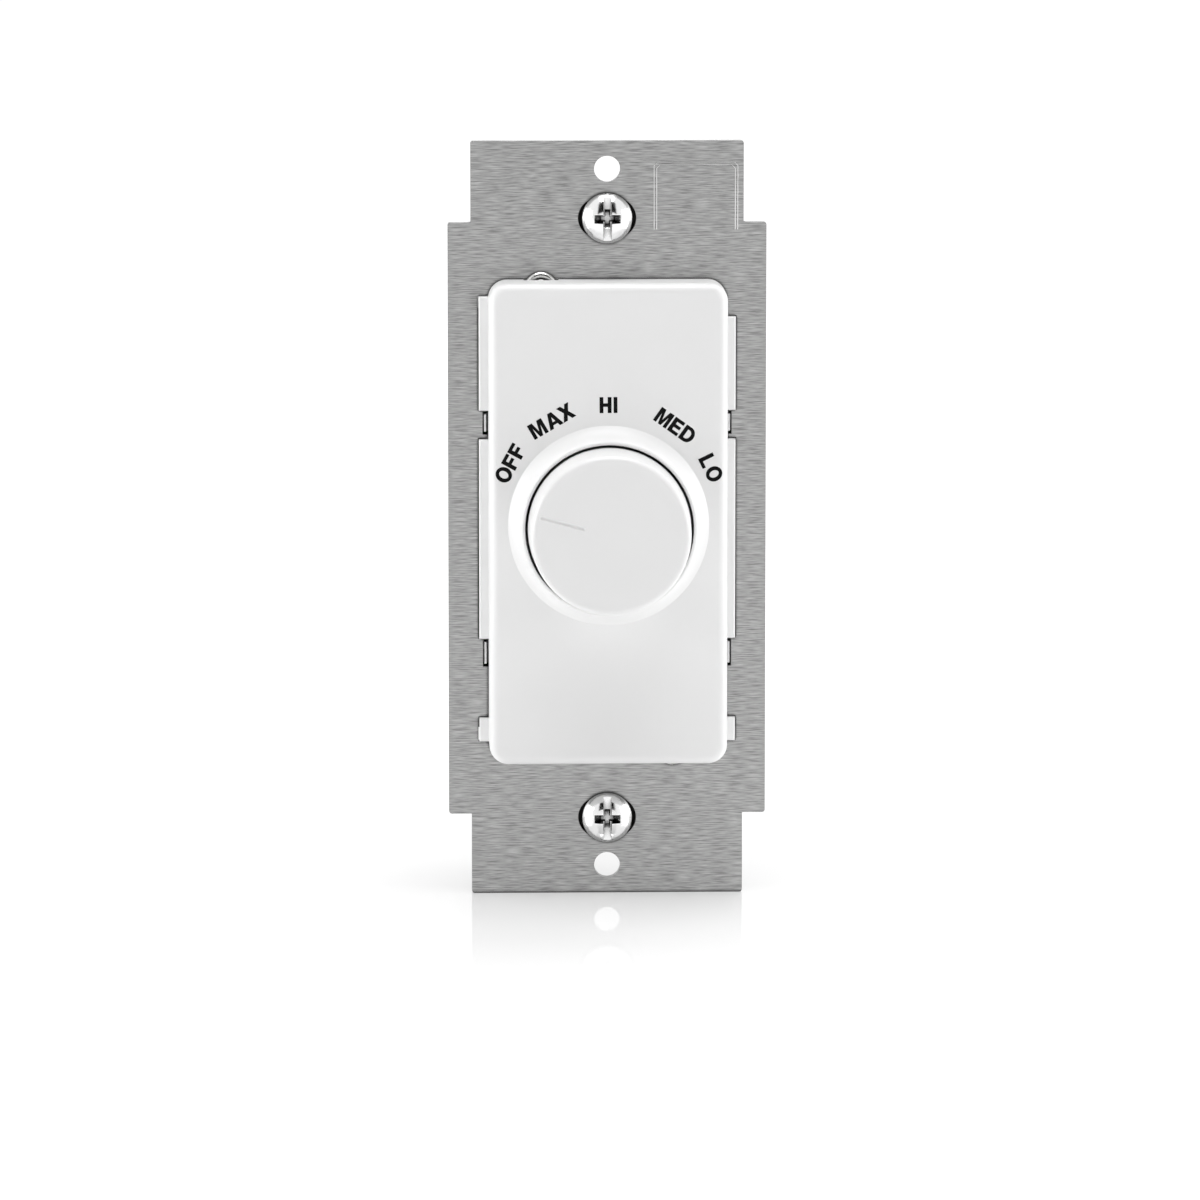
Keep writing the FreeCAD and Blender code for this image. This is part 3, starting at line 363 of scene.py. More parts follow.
@dataclass(frozen=True)
class PlatedMetal(Finish):
    """Bright plating with faint clouds and hairline marks."""

    cloud_mm: float = 2.5
    mark_mm: Sizes = (0.08, 0.72, 0.24)
    mark_depth_mm: float = 0.0015
    mark_strength: float = 0.35
    edge_mm: float = 0.08
    edge_share: float = 0.15
    hollow_mm: float = 0.9
    hollow_sky: Point = (0.26, 0.56)
    # The colour of the painted shade in slots and recesses.
    recess_shade: Colour = (0.02, 0.02, 0.02)
    polished: float = 0.8
    dulled: float = 1.25

    def pattern(self, sheet: ShaderSheet) -> None:
        """Clouds in the colour, hairlines in the relief, polished edges and painted shade in the hollows."""
        clouds = sheet.noise((self.cloud_mm,) * 3, Detail.FINE)
        marks = sheet.noise(self.mark_mm)
        tone = self.tone(sheet, clouds)
        worn = sheet.between(sheet.near_edges(self.edge_mm), tone, self.shade(self.edge_share))
        # Painted shade: the colour goes to near black where the sky is hidden, as in a screw's slot and
        # cross.
        recess_shade_mask = sheet.hollows(self.hollow_mm, self.hollow_sky)
        sheet.put("Base Color", sheet.between(recess_shade_mask, worn, self.recess_shade))
        smooth, rough = self.roughness * self.polished, self.roughness * self.dulled
        sheet.put("Roughness", sheet.contrast(clouds, smooth, rough))
        sheet.raise_surface(marks, self.mark_depth_mm, self.mark_strength)


@dataclass(frozen=True)
class MouldedPlastic(Finish):
    """Injection moulded plastic: a fine sparked grain and a slight mottle."""

    grain_mm: float = 0.12
    grain_depth_mm: float = 0.004
    grain_strength: float = 0.5
    mottle_mm: float = 9.0
    edge_mm: float = 0.15
    edge_swings: float = 2.0
    # Painted shade deep in narrow gaps: its reach, sky shares and darkening; none unless gap_mm is set.
    gap_mm: float = 0.0
    gap_sky: Point = (0.06, 0.26)
    gap_shade_share: float = -0.95
    reflectance: float = 0.5

    def pattern(self, sheet: ShaderSheet) -> None:
        """Grain in the relief, mottle in the colour, rubbed edges and painted shade in narrow gaps."""
        grain = sheet.noise((self.grain_mm,) * 3, Detail.FINE)
        tone = self.tone(sheet, sheet.noise((self.mottle_mm,) * 3))
        rubbed = self.shade(self.swing * self.edge_swings)
        worn = sheet.between(sheet.near_edges(self.edge_mm), tone, rubbed)
        if self.gap_mm > 0.0:
            # Painted shade: the colour darkens deep in narrow gaps, where little light gets in.
            gap_shade_mask = sheet.hollows(self.gap_mm, self.gap_sky)
            worn = sheet.between(gap_shade_mask, worn, self.shade(self.gap_shade_share))
        sheet.put("Base Color", worn)
        self.vary_gloss(sheet, grain)
        sheet.raise_surface(grain, self.grain_depth_mm, self.grain_strength)
        sheet.put("Specular IOR Level", self.reflectance)


@dataclass(frozen=True)
class FibreSheet(Finish):
    """Pressed fibre or insulating paper with matted strands."""

    strand_mm: float = 1.6
    strand_width_mm: float = 0.12
    layer_mm: float = 0.2
    upright_share: float = 0.5
    upright_swings: float = 2.0
    relief_mm: float = 0.02
    across_strength: float = 0.5
    upright_strength: float = 0.4

    def pattern(self, sheet: ShaderSheet) -> None:
        """Strands both ways in the colour and in the relief."""
        across = sheet.noise((self.strand_mm, self.layer_mm, self.strand_width_mm), Detail.MATTED)
        upright = sheet.noise((self.strand_width_mm, self.layer_mm, self.strand_mm), Detail.MATTED)
        share = sheet.contrast(upright, 0.0, self.upright_share)
        lighter = self.shade(self.swing * self.upright_swings)
        sheet.put("Base Color", sheet.between(share, self.tone(sheet, across), lighter))
        sheet.raise_surface(across, self.relief_mm, self.across_strength)
        sheet.raise_surface(upright, self.relief_mm, self.upright_strength)


@dataclass(frozen=True)
class WovenLaminate(Finish):
    """Glass cloth laminate whose weave shows through the resin."""

    band_mm: float = 3.1416
    unevenness: float = 0.4
    upright_share: float = 0.5
    upright_swings: float = 1.5
    relief_mm: float = 0.004
    relief_strength: float = 0.3
    resin: float = 0.3

    def bands(self, sheet: ShaderSheet, direction: str) -> bpy.types.NodeSocket:
        """Soft bands along one axis. At a scale of 1 the texture has them a tenth of pi metres apart."""
        scale = 0.1 * math.pi / (self.band_mm * MM)
        wave = sheet.add("ShaderNodeTexWave", {
            "Vector": sheet.place, "Scale": scale, "Distortion": self.unevenness,
        })
        wave.bands_direction = direction
        return wave.outputs["Fac"]

    def pattern(self, sheet: ShaderSheet) -> None:
        """Two crossed sets of bands under a smooth resin."""
        across, upright = (self.bands(sheet, direction) for direction in ("X", "Z"))
        first = sheet.between(across, self.shade(-self.swing), self.shade(self.swing))
        share = sheet.spread(upright, 0.0, self.upright_share, 0.0, 1.0)
        sheet.put("Base Color", sheet.between(share, first, self.shade(self.swing * self.upright_swings)))
        sheet.raise_surface(across, self.relief_mm, self.relief_strength)
        sheet.put("Coat Weight", self.resin)


@dataclass(frozen=True)
class DippedLacquer(Finish):
    """A thick glossy coat that gathers in drops and thins at the edges."""

    bare: Colour = (0.55, 0.53, 0.48)
    wave_mm: float = 1.4
    wave_depth_mm: float = 0.03
    wave_strength: float = 0.4
    edge_mm: float = 0.1
    rub_start: float = 0.3
    rub_share: float = 0.35
    coat: float = 0.5
    coat_roughness: float = 0.08

    def pattern(self, sheet: ShaderSheet) -> None:
        """Slow waves in the coat, and what lies under it where edges rub."""
        waves = sheet.noise((self.wave_mm,) * 3)
        tone = self.tone(sheet, waves)
        rubbed = sheet.spread(sheet.near_edges(self.edge_mm), 0.0, self.rub_share, self.rub_start, 1.0)
        sheet.put("Base Color", sheet.between(rubbed, tone, self.bare))
        sheet.raise_surface(waves, self.wave_depth_mm, self.wave_strength)
        sheet.put("Coat Weight", self.coat)
        sheet.put("Coat Roughness", self.coat_roughness)


@dataclass(frozen=True)
class PrintedInk(Finish):
    """Pad-printed ink with an uneven film."""

    swing: float = 0.4
    smoother: float = 0.05
    rougher: float = 0.1
    film_mm: float = 0.15
    film_depth_mm: float = 0.002
    film_strength: float = 0.3
    reflectance: float = 0.1

    def pattern(self, sheet: ShaderSheet) -> None:
        """Thin and thick places, at the scale of a print screen."""
        film = sheet.noise((self.film_mm,) * 3, Detail.FINE)
        sheet.put("Base Color", self.tone(sheet, film))
        self.vary_gloss(sheet, film)
        sheet.raise_surface(film, self.film_depth_mm, self.film_strength)
        sheet.put("Specular IOR Level", self.reflectance)


# The strap gets painted contact shade round the face, the rails, the rivet and the screws.
STRAP = BrushedMetal(
    "strap_aluminium", (0.385, 0.385, 0.383), 0.42, 1.0, 0.44, stroke_mm=2.4, line_mm=0.15, edge_share=-0.45,
    veil=0.12,
)
# A lighter copy of the strap's aluminium: painted highlight along the pressed lines' ridges.
PRESSED_LINE_HIGHLIGHT = BrushedMetal(
    "pressed_line_highlight", (0.72, 0.72, 0.717), 0.35, 1.0, 0.10, edge_share=0.0, contact_mm=0.02,
)
# The face and the knob get painted shade in the ring gap between them.
FACE = MouldedPlastic("face_white", (0.80, 0.80, 0.80), 0.36, swing=0.006, gap_mm=1.4)
KNOB = MouldedPlastic("knob_white", (0.785, 0.785, 0.785), 0.33, swing=0.006, gap_mm=1.4)
# The box screws get deeper painted shade in their slots and cross recesses.
SCREW = PlatedMetal(
    "plated_screw", (0.86, 0.86, 0.86), 0.15, 1.0, 0.02, hollow_mm=1.5, hollow_sky=(0.36, 0.74),
)
RIVET = PlatedMetal("rivet_steel", (0.66, 0.66, 0.65), 0.24, 1.0)
SPRING = BrushedMetal("spring_steel", (0.42, 0.42, 0.43), 0.32, 1.0, 0.06, line_mm=0.06)
ZINC = PlatedMetal("plated_steel", (0.62, 0.61, 0.57), 0.34, 1.0, 0.07)
BRASS = PlatedMetal("brass", (0.72, 0.52, 0.24), 0.30, 1.0, 0.06)
BRIGHT_BRASS = PlatedMetal("brass_screw", (0.80, 0.60, 0.29), 0.20, 1.0, 0.05)
CONTACT = PlatedMetal("contact_metal", (0.74, 0.47, 0.29), 0.28, 1.0, 0.06)
SHAFT = BrushedMetal(
    "shaft_metal", (0.70, 0.62, 0.42), 0.28, 1.0, 0.05, axis=BrushAxis.ALONG_Y, line_mm=0.07,
)
PHENOLIC = MouldedPlastic("phenolic", (0.085, 0.042, 0.026), 0.42, swing=0.12, grain_mm=0.3)
NYLON = MouldedPlastic("nylon", (0.74, 0.71, 0.62), 0.40, swing=0.03)
PAPER = FibreSheet("insulating_paper", (0.11, 0.10, 0.085), 0.72, swing=0.14)
FIBRE = FibreSheet("fibre", (0.012, 0.011, 0.010), 0.70, swing=0.3, strand_mm=0.9)
BOARD = WovenLaminate("board_laminate", (0.055, 0.13, 0.045), 0.30, swing=0.16)
CASE = DippedLacquer("capacitor_case", (0.62, 0.40, 0.06), 0.28, swing=0.03, bare=(0.55, 0.36, 0.06))
RESISTOR = DippedLacquer("resistor_body", (0.30, 0.42, 0.50), 0.30, swing=0.05, bare=(0.28, 0.38, 0.45))
HOUSING = MouldedPlastic(
    "housing_plastic", (0.018, 0.019, 0.021), 0.46, swing=0.10, grain_mm=0.22, grain_depth_mm=0.012,
)
GREEN = DippedLacquer("ground_green", (0.012, 0.17, 0.045), 0.30, 0.25, 0.10)
INK = PrintedInk("dial_ink", (0.002, 0.002, 0.002), 0.50)
SOLID_FINISHES = (
    STRAP, FACE, KNOB, SCREW, RIVET, SPRING, ZINC, BRASS, BRIGHT_BRASS, CONTACT, SHAFT,
    PHENOLIC, NYLON, PAPER, FIBRE, BOARD, CASE, RESISTOR, HOUSING, GREEN,
)


class Palette:
    """The materials of the whole switch, made once and shared."""

    def __init__(self) -> None:
        """Makes the material of every slot, the lighter aluminium that paints the highlight on the strap's
        pressed lines, and the dial's ink.
        """
        self.by_slot = {finish.slot: finish.material() for finish in SOLID_FINISHES}
        self.ink = INK.material()
        self.pressed_line_highlight = PRESSED_LINE_HIGHLIGHT.material()

    def dress_solids(self) -> None:
        """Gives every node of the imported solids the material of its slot."""
        for row in frame["record"]["subparts"]:
            solid = frame["nodes"][row["node"]]
            solid.data.materials.clear()
            solid.data.materials.append(self.by_slot[row["material_slot"]])


def node_slot(node: str) -> str:
    """The record's material slot of a node."""
    for row in frame["record"]["subparts"]:
        if row["node"] == node:
            return row["material_slot"]
    raise KeyError(node)


def finished_piece(
    name: str, shape: bmesh.types.BMesh, material: bpy.types.Material, body: str
) -> bpy.types.Object:
    """Turns a shape into a piece of the scene, at the origin, riding on its body.

    Args:
        name: The piece's name.
        shape: The mesh, in metres and in place. It is used up.
        material: What the piece is made of.
        body: The body that it moves with.

    Returns:
        The new object.
    """
    mesh = bpy.data.meshes.new(name)
    shape.to_mesh(mesh)
    shape.free()
    mesh.shade_smooth()
    mesh.set_sharp_from_angle(angle=math.radians(SMOOTH_DEG))
    mesh.materials.append(material)
    piece = bpy.data.objects.new(name, mesh)
    bpy.context.scene.collection.objects.link(piece)
    even = piece.modifiers.new("even_flats", "WEIGHTED_NORMAL")
    even.keep_sharp = True
    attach(piece, body)
    LOG.info("%s: %d faces on %s", name, len(mesh.polygons), body)
    return piece


def merged_copy(node: str) -> bmesh.types.BMesh:
    """A copy of a node's mesh whose loose triangles are joined into flat faces."""
    shape = bmesh.new()
    shape.from_mesh(frame["nodes"][node].data)
    bmesh.ops.remove_doubles(shape, verts=shape.verts, dist=WELD_MM * MM)
    bmesh.ops.dissolve_limit(
        shape, angle_limit=math.radians(FLAT_DEG), use_dissolve_boundaries=False,
        verts=shape.verts, edges=shape.edges,
    )
    return shape


def ease_edges(shape: bmesh.types.BMesh, width_mm: float) -> None:
    """Breaks the sharp edges of a shape as a tumbled or moulded piece has them.

    Args:
        shape: The mesh to change.
        width_mm: How far the rounding reaches from an edge.
    """
    least = math.radians(SHARP_DEG)
    sharp = [edge for edge in shape.edges if edge.is_manifold and edge.calc_face_angle() > least]
    bmesh.ops.bevel(
        shape, geom=sharp, offset=width_mm * MM, offset_type="OFFSET", affect="EDGES", segments=EASE_FACES,
        profile=0.5, material=-1, clamp_overlap=True,
    )


@dataclass
class EasedSolid:
    """A piece that keeps its solid's shape and has its sharp edges broken."""

    node: str
    body: str
    name: str
    ease_mm: float

    def build(self, palette: Palette) -> bpy.types.Object:
        """Makes the eased piece and lets it stand for its node."""
        shape = merged_copy(self.node)
        ease_edges(shape, self.ease_mm)
        slot = node_slot(self.node)
        piece = finished_piece(self.name, shape, palette.by_slot[slot], self.body)
        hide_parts(self.node)
        return piece


def cut_away(shape: bmesh.types.BMesh, tool: bmesh.types.BMesh) -> bmesh.types.BMesh:
    """Takes one closed shape away from another.

    Args:
        shape: The shape that is cut. It is used up.
        tool: What is taken away. It is used up.

    Returns:
        What is left of the shape.
    """
    holders = []
    for name, part in (("cut_shape", shape), ("cut_tool", tool)):
        mesh = bpy.data.meshes.new(name)
        part.to_mesh(mesh)
        part.free()
        holders.append(bpy.data.objects.new(name, mesh))
        bpy.context.scene.collection.objects.link(holders[-1])
    cut = holders[0].modifiers.new("cut", "BOOLEAN")
    cut.operation = "DIFFERENCE"
    cut.solver = "EXACT"
    cut.object = holders[1]
    seen = holders[0].evaluated_get(bpy.context.evaluated_depsgraph_get())
    mesh = bpy.data.meshes.new_from_object(seen)
    left_over = bmesh.new()
    left_over.from_mesh(mesh)
    bpy.data.meshes.remove(mesh)
    for holder in holders:
        scratch = holder.data
        bpy.data.objects.remove(holder)
        bpy.data.meshes.remove(scratch)
    return left_over


@dataclass
class DriverCut:
    """The slot and the tapered cross recess of a box screw, cut from in front of its dome."""

    front: float = -3.6
    lead: float = 0.4
    slot_half: float = 0.57
    slot_depth: float = 0.92
    slot_reach: float = 4.0
    arm_half: float = 0.595
    arm_reach: float = 1.87
    recess_depth: float = 1.72
    taper: float = 0.45

    def wedge(self, half: Point, depth: float, taper: float, height: float) -> bmesh.types.BMesh:
        """A block that narrows towards its floor, in front of and into the head.

        Args:
            half: Half its width and half its height, at the dome's front.
            depth: How far its floor lies behind the dome's front.
            taper: The floor's size as a share of the size at the front.
            height: Where the screw's axis is along Z.

        Returns:
            The block, in metres and in place.
        """
        shape = bmesh.new()
        bmesh.ops.create_cube(shape, size=2.0)
        slope = (1.0 - taper) / depth
        for vert in shape.verts:
            level = depth if vert.co.y > 0.0 else -self.lead
            share = 1.0 - slope * level
            across, up = vert.co.x * half[0] * share, vert.co.z * half[1] * share
            vert.co = Vector((across, self.front + level, height + up)) * MM
        bmesh.ops.recalc_face_normals(shape, faces=shape.faces)
        return shape

    def apply(self, shape: bmesh.types.BMesh, height: float) -> bmesh.types.BMesh:
        """Cuts slot and cross into a head whose axis is at some height."""
        tools = (
            self.wedge((self.slot_half, self.slot_reach), self.slot_depth, 1.0, height),
            self.wedge((self.arm_half, self.arm_reach), self.recess_depth, self.taper, height),
            self.wedge((self.arm_reach, self.arm_half), self.recess_depth, self.taper, height),
        )
        for tool in tools:
            shape = cut_away(shape, tool)
        return shape


@dataclass
class ThreadedScrew:
    """A machine screw: the head of its solid, and a shank with a real thread.

    The thread's rise, crest and fall end at shares of its pitch.
    """

    node: str
    body: str
    name: str
    axis: Sizes
    foot: Sizes
    thread_start: float
    thread_end: float
    crest_radius: float
    pitch: float = 0.794
    thread_depth: float = 0.40
    rise_end: float = 0.40
    crest_end: float = 0.53
    fall_end: float = 0.93
    seam: float = 0.002
    lead_in: float = 0.9
    tip_share: float = 0.78
    turn_steps: int = 28
    ease_mm: float = 0.05
    driver: DriverCut | None = None

    def place(self) -> Matrix:
        """Carries +Z to the screw's axis, and the origin to the screw's foot."""
        turn = Vector((0.0, 0.0, 1.0)).rotation_difference(Vector(self.axis)).to_matrix().to_4x4()
        return Matrix.Translation(Vector(self.foot) * MM) @ turn

    def head(self) -> bmesh.types.BMesh:
        """The solid cut off where its thread starts, with its edges eased."""
        shape = merged_copy(self.node)
        if self.driver is not None:
            shape = self.driver.apply(shape, self.foot[2])
        axis = Vector(self.axis)
        cut = Vector(self.foot) * MM + axis * (self.thread_start * MM)
        everything = [*shape.verts, *shape.edges, *shape.faces]
        bmesh.ops.bisect_plane(
            shape, geom=everything, dist=HAIR_MM * MM, plane_co=cut, plane_no=axis, clear_outer=True,
        )
        rim = [edge for edge in shape.edges if edge.is_boundary]
        bmesh.ops.holes_fill(shape, edges=rim)
        ease_edges(shape, self.ease_mm)
        return shape

    def thread(self) -> bmesh.types.BMesh:
        """The shank: one pitch of the thread's outline, turned along the screw in whole turns."""
        shape = bmesh.new()
        crest, root = self.crest_radius, self.crest_radius - self.thread_depth
        outline = (
            (root, 0.0), (crest, self.rise_end), (crest, self.crest_end), (root, self.fall_end), (root, 1.0),
        )
        points = [
            shape.verts.new((radius * MM, 0.0, (self.thread_start + share * self.pitch) * MM))
            for radius, share in outline
        ]
        edges = [shape.edges.new(pair) for pair in zip(points, points[1:])]
        turns = max(1, int((self.thread_end - self.thread_start) / self.pitch) - 1)
        bmesh.ops.spin(
            shape, geom=[*points, *edges], cent=(0.0, 0.0, 0.0), axis=(0.0, 0.0, 1.0),
            dvec=(0.0, 0.0, self.pitch * MM / self.turn_steps), angle=2.0 * math.pi * turns,
            steps=self.turn_steps * turns, use_merge=False, use_duplicate=False,
        )
        bmesh.ops.remove_doubles(shape, verts=shape.verts, dist=self.seam * MM)
        rim = [edge for edge in shape.edges if edge.is_boundary]
        bmesh.ops.holes_fill(shape, edges=rim)
        tip = self.thread_end * MM
        for vert in shape.verts:
            share = (tip - vert.co.z) / (self.lead_in * MM)
            if share < 1.0:
                narrow = self.tip_share + (1.0 - self.tip_share) * max(share, 0.0)
                vert.co.x *= narrow
                vert.co.y *= narrow
        bmesh.ops.recalc_face_normals(shape, faces=shape.faces)
        bmesh.ops.transform(shape, matrix=self.place(), verts=shape.verts)
        return shape

    def build(self, palette: Palette) -> bpy.types.Object:
        """Joins head and shank into one piece that stands for the node."""
        whole = bmesh.new()
        for part in (self.head(), self.thread()):
            scratch = bpy.data.meshes.new("screw_part")
            part.to_mesh(scratch)
            part.free()
            whole.from_mesh(scratch)
            bpy.data.meshes.remove(scratch)
        slot = node_slot(self.node)
        piece = finished_piece(self.name, whole, palette.by_slot[slot], self.body)
        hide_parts(self.node)
        return piece


@dataclass
class PressedOutline:
    """The two fine lines pressed round the blank place at the strap's upper right corner."""

    left: float = 6.45
    right: float = 17.95
    top: float = 49.35
    bottom: float = 40.05
    line_gap: float = 0.36
    line_radius: float = 0.055
    bend: float = 0.5
    round_steps: int = 2
    surface_y: float = STRAP_FRONT

    def line(self, inset: float) -> list[Vector]:
        """The corner points of one line, from its lower left end to its lower right end."""
        left, right, top = self.left + inset, self.right - inset, self.top - inset
        corners = (
            (left, self.bottom), (left, top - self.bend), (left + self.bend, top),
            (right - self.bend, top), (right, top - self.bend), (right, self.bottom),
        )
        return [Vector((across, self.surface_y, up)) for across, up in corners]

    def build(self, palette: Palette) -> bpy.types.Object:
        """Makes both lines as one piece of the strap."""
        curve = bpy.data.curves.new("pressed_lines", "CURVE")
        curve.dimensions = "3D"
        curve.bevel_depth = self.line_radius * MM
        curve.bevel_resolution = self.round_steps
        curve.use_fill_caps = True
        for inset in (0.0, self.line_gap):
            points = self.line(inset)
            spline = curve.splines.new("POLY")
            spline.points.add(len(points) - 1)
            for point, corner in zip(spline.points, points):
                point.co = (*(corner * MM), 1.0)
        shape = mesh_of_curve(curve)
        # The lines wear the lighter aluminium, a painted highlight on the ridges.
        return finished_piece("pressed_outline", shape, palette.pressed_line_highlight, "device_body")


def mesh_of_curve(curve: bpy.types.Curve) -> bmesh.types.BMesh:
    """The mesh of a curve, taken before its place is applied. The curve is used up."""
    holder = bpy.data.objects.new("curve_holder", curve)
    bpy.context.scene.collection.objects.link(holder)
    seen = holder.evaluated_get(bpy.context.evaluated_depsgraph_get())
    mesh = bpy.data.meshes.new_from_object(seen)
    shape = bmesh.new()
    shape.from_mesh(mesh)
    bmesh.ops.remove_doubles(shape, verts=shape.verts, dist=HAIR_MM * MM)
    bpy.data.objects.remove(holder)
    bpy.data.meshes.remove(mesh)
    bpy.data.curves.remove(curve)
    return shape


def oval(centre: Point, reach: Point, start_deg: float = 0.0, end_deg: float = 360.0) -> tuple[Point, ...]:
    """Points along an ellipse or a half of one.

    Args:
        centre: The middle of the ellipse.
        reach: Half its width and half its height.
        start_deg: Where it starts, counter-clockwise from the right.
        end_deg: Where it ends.

    Returns:
        The points, without the last one of a whole ellipse.
    """
    whole = end_deg - start_deg >= 360.0
    steps = OVAL_STEPS if whole else OVAL_STEPS // 2
    turns = [
        math.radians(start_deg + (end_deg - start_deg) * step / steps)
        for step in range(steps if whole else steps + 1)
    ]
    return tuple(
        (centre[0] + reach[0] * math.cos(turn), centre[1] + reach[1] * math.sin(turn)) for turn in turns
    )


@dataclass(frozen=True)
class Capital:
    """A bold capital one unit high: how far it moves the next one on, and its closed outlines."""

    advance: float
    loops: tuple[tuple[Point, ...], ...]


STEM = 0.27
BAR = 0.215
CAPITALS = {
    "O": Capital(1.08, (oval((0.50, 0.5), (0.50, 0.52)), oval((0.50, 0.5), (0.235, 0.305)))),
    "D": Capital(1.02, (
        ((0.0, 0.0), *oval((0.42, 0.5), (0.48, 0.5), -90.0, 90.0), (0.0, 1.0)),
        ((STEM, BAR), *oval((0.39, 0.5), (0.25, 0.5 - BAR), -90.0, 90.0), (STEM, 1.0 - BAR)),
    )),
    "F": Capital(0.83, ((
        (0.0, 0.0), (STEM, 0.0), (STEM, 0.39), (0.66, 0.39), (0.66, 0.60), (STEM, 0.60), (STEM, 1.0 - BAR),
        (0.74, 1.0 - BAR), (0.74, 1.0), (0.0, 1.0),
    ),)),
    "E": Capital(0.91, ((
        (0.0, 0.0), (0.79, 0.0), (0.79, BAR), (STEM, BAR), (STEM, 0.40), (0.72, 0.40), (0.72, 0.61),
        (STEM, 0.61), (STEM, 1.0 - BAR), (0.77, 1.0 - BAR), (0.77, 1.0), (0.0, 1.0),
    ),)),
    "L": Capital(0.85, (((0.0, 0.0), (0.72, 0.0), (0.72, BAR), (STEM, BAR), (STEM, 1.0), (0.0, 1.0)),)),
    "I": Capital(0.42, (((0.0, 0.0), (STEM, 0.0), (STEM, 1.0), (0.0, 1.0)),)),
    "H": Capital(1.00, ((
        (0.0, 0.0), (STEM, 0.0), (STEM, 0.39), (0.85 - STEM, 0.39), (0.85 - STEM, 0.0), (0.85, 0.0),
        (0.85, 1.0), (0.85 - STEM, 1.0), (0.85 - STEM, 0.61), (STEM, 0.61), (STEM, 1.0), (0.0, 1.0),
    ),)),
    "M": Capital(1.16, ((
        (0.0, 0.0), (0.24, 0.0), (0.24, 0.66), (0.415, 0.0), (0.625, 0.0), (0.80, 0.66), (0.80, 0.0),
        (1.04, 0.0), (1.04, 1.0), (0.69, 1.0), (0.52, 0.34), (0.35, 1.0), (0.0, 1.0),
    ),)),
    "A": Capital(1.00, (
        (
            (0.0, 0.0), (0.27, 0.0), (0.335, 0.20), (0.655, 0.20), (0.72, 0.0), (0.99, 0.0), (0.64, 1.0),
            (0.35, 1.0),
        ),
        ((0.40, 0.39), (0.59, 0.39), (0.495, 0.71)),
    )),
    "X": Capital(0.96, ((
        (0.0, 0.0), (0.30, 0.0), (0.47, 0.29), (0.64, 0.0), (0.94, 0.0), (0.63, 0.515), (0.92, 1.0),
        (0.62, 1.0), (0.47, 0.74), (0.32, 1.0), (0.02, 1.0), (0.31, 0.515),
    ),)),
}


@dataclass(frozen=True)
class DialWord:
    """A speed on the dial: its angle round the knob and the width of its print."""

    text: str
    angle_deg: float
    ink_width: float


@dataclass
class DialPrint:
    """The speeds printed on an arc round the knob."""

    words: tuple[DialWord, ...] = (
        DialWord("OFF", -61.15, 5.52), DialWord("MAX", -30.5, 6.60), DialWord("HI", -0.4, 2.44),
        DialWord("MED", 35.6, 6.02), DialWord("LO", 64.1, 3.80),
    )
    centre_x: float = 0.08
    centre_z: float = 1.08
    radius: float = 15.55
    cap_height: float = 2.2
    face_y: float = -8.3
    film: float = 0.012
    sunk: float = 0.03

    def letters(self, word: DialWord) -> bmesh.types.BMesh:
        """One word, upright round the origin, at its printed size."""
        curve = bpy.data.curves.new(word.text, "CURVE")
        curve.dimensions = "2D"
        curve.fill_mode = "BOTH"
        curve.extrude = 0.5
        start = 0.0
        for letter in word.text:
            capital = CAPITALS[letter]
            for loop in capital.loops:
                spline = curve.splines.new("POLY")
                spline.points.add(len(loop) - 1)
                spline.use_cyclic_u = True
                for point, (across, up) in zip(spline.points, loop):
                    point.co = (start + across, up, 0.0, 1.0)
            start += capital.advance
        shape = mesh_of_curve(curve)
        low = Vector(min(vert.co[axis] for vert in shape.verts) for axis in range(3))
        high = Vector(max(vert.co[axis] for vert in shape.verts) for axis in range(3))
        size = high - low
        bmesh.ops.translate(shape, vec=(low + high) / -2.0, verts=shape.verts)
        stretch = (word.ink_width / size.x, self.cap_height, (self.film + self.sunk) / size.z)
        bmesh.ops.scale(shape, vec=stretch, verts=shape.verts)
        bmesh.ops.recalc_face_normals(shape, faces=shape.faces)
        return shape

    def build(self, palette: Palette) -> list[bpy.types.Object]:
        """Prints every word at its angle on the arc."""
        pieces = []
        facing = Matrix.Rotation(math.radians(90.0), 4, "X")
        level = self.face_y + (self.sunk - self.film) / 2.0
        for word in self.words:
            shape = self.letters(word)
            turn = math.radians(word.angle_deg)
            across, up = self.radius * math.sin(turn), self.radius * math.cos(turn)
            spot = Vector((self.centre_x + across, level, self.centre_z + up))
            place = Matrix.Translation(spot * MM) @ Matrix.Rotation(turn, 4, "Y") @ facing
            bmesh.ops.transform(shape, matrix=place @ Matrix.Scale(MM, 4), verts=shape.verts)
            name = "dial_word_" + word.text.lower()
            pieces.append(finished_piece(name, shape, palette.ink, "device_body"))
        return pieces


@dataclass(frozen=True)
class SoftBox:
    """A square softbox aimed at the switch. Its place and size are in metres."""

    name: str
    place: Sizes
    size: float
    watts: float

    def hang(self) -> None:
        """Adds the lamp to the scene."""
        lamp = bpy.data.lights.new(self.name, "AREA")
        lamp.shape = "SQUARE"
        lamp.size = self.size
        lamp.energy = self.watts
        holder = bpy.data.objects.new(self.name, lamp)
        holder.location = self.place
        holder.rotation_euler = (-Vector(self.place)).to_track_quat("-Z", "Y").to_euler()
        bpy.context.scene.collection.objects.link(holder)


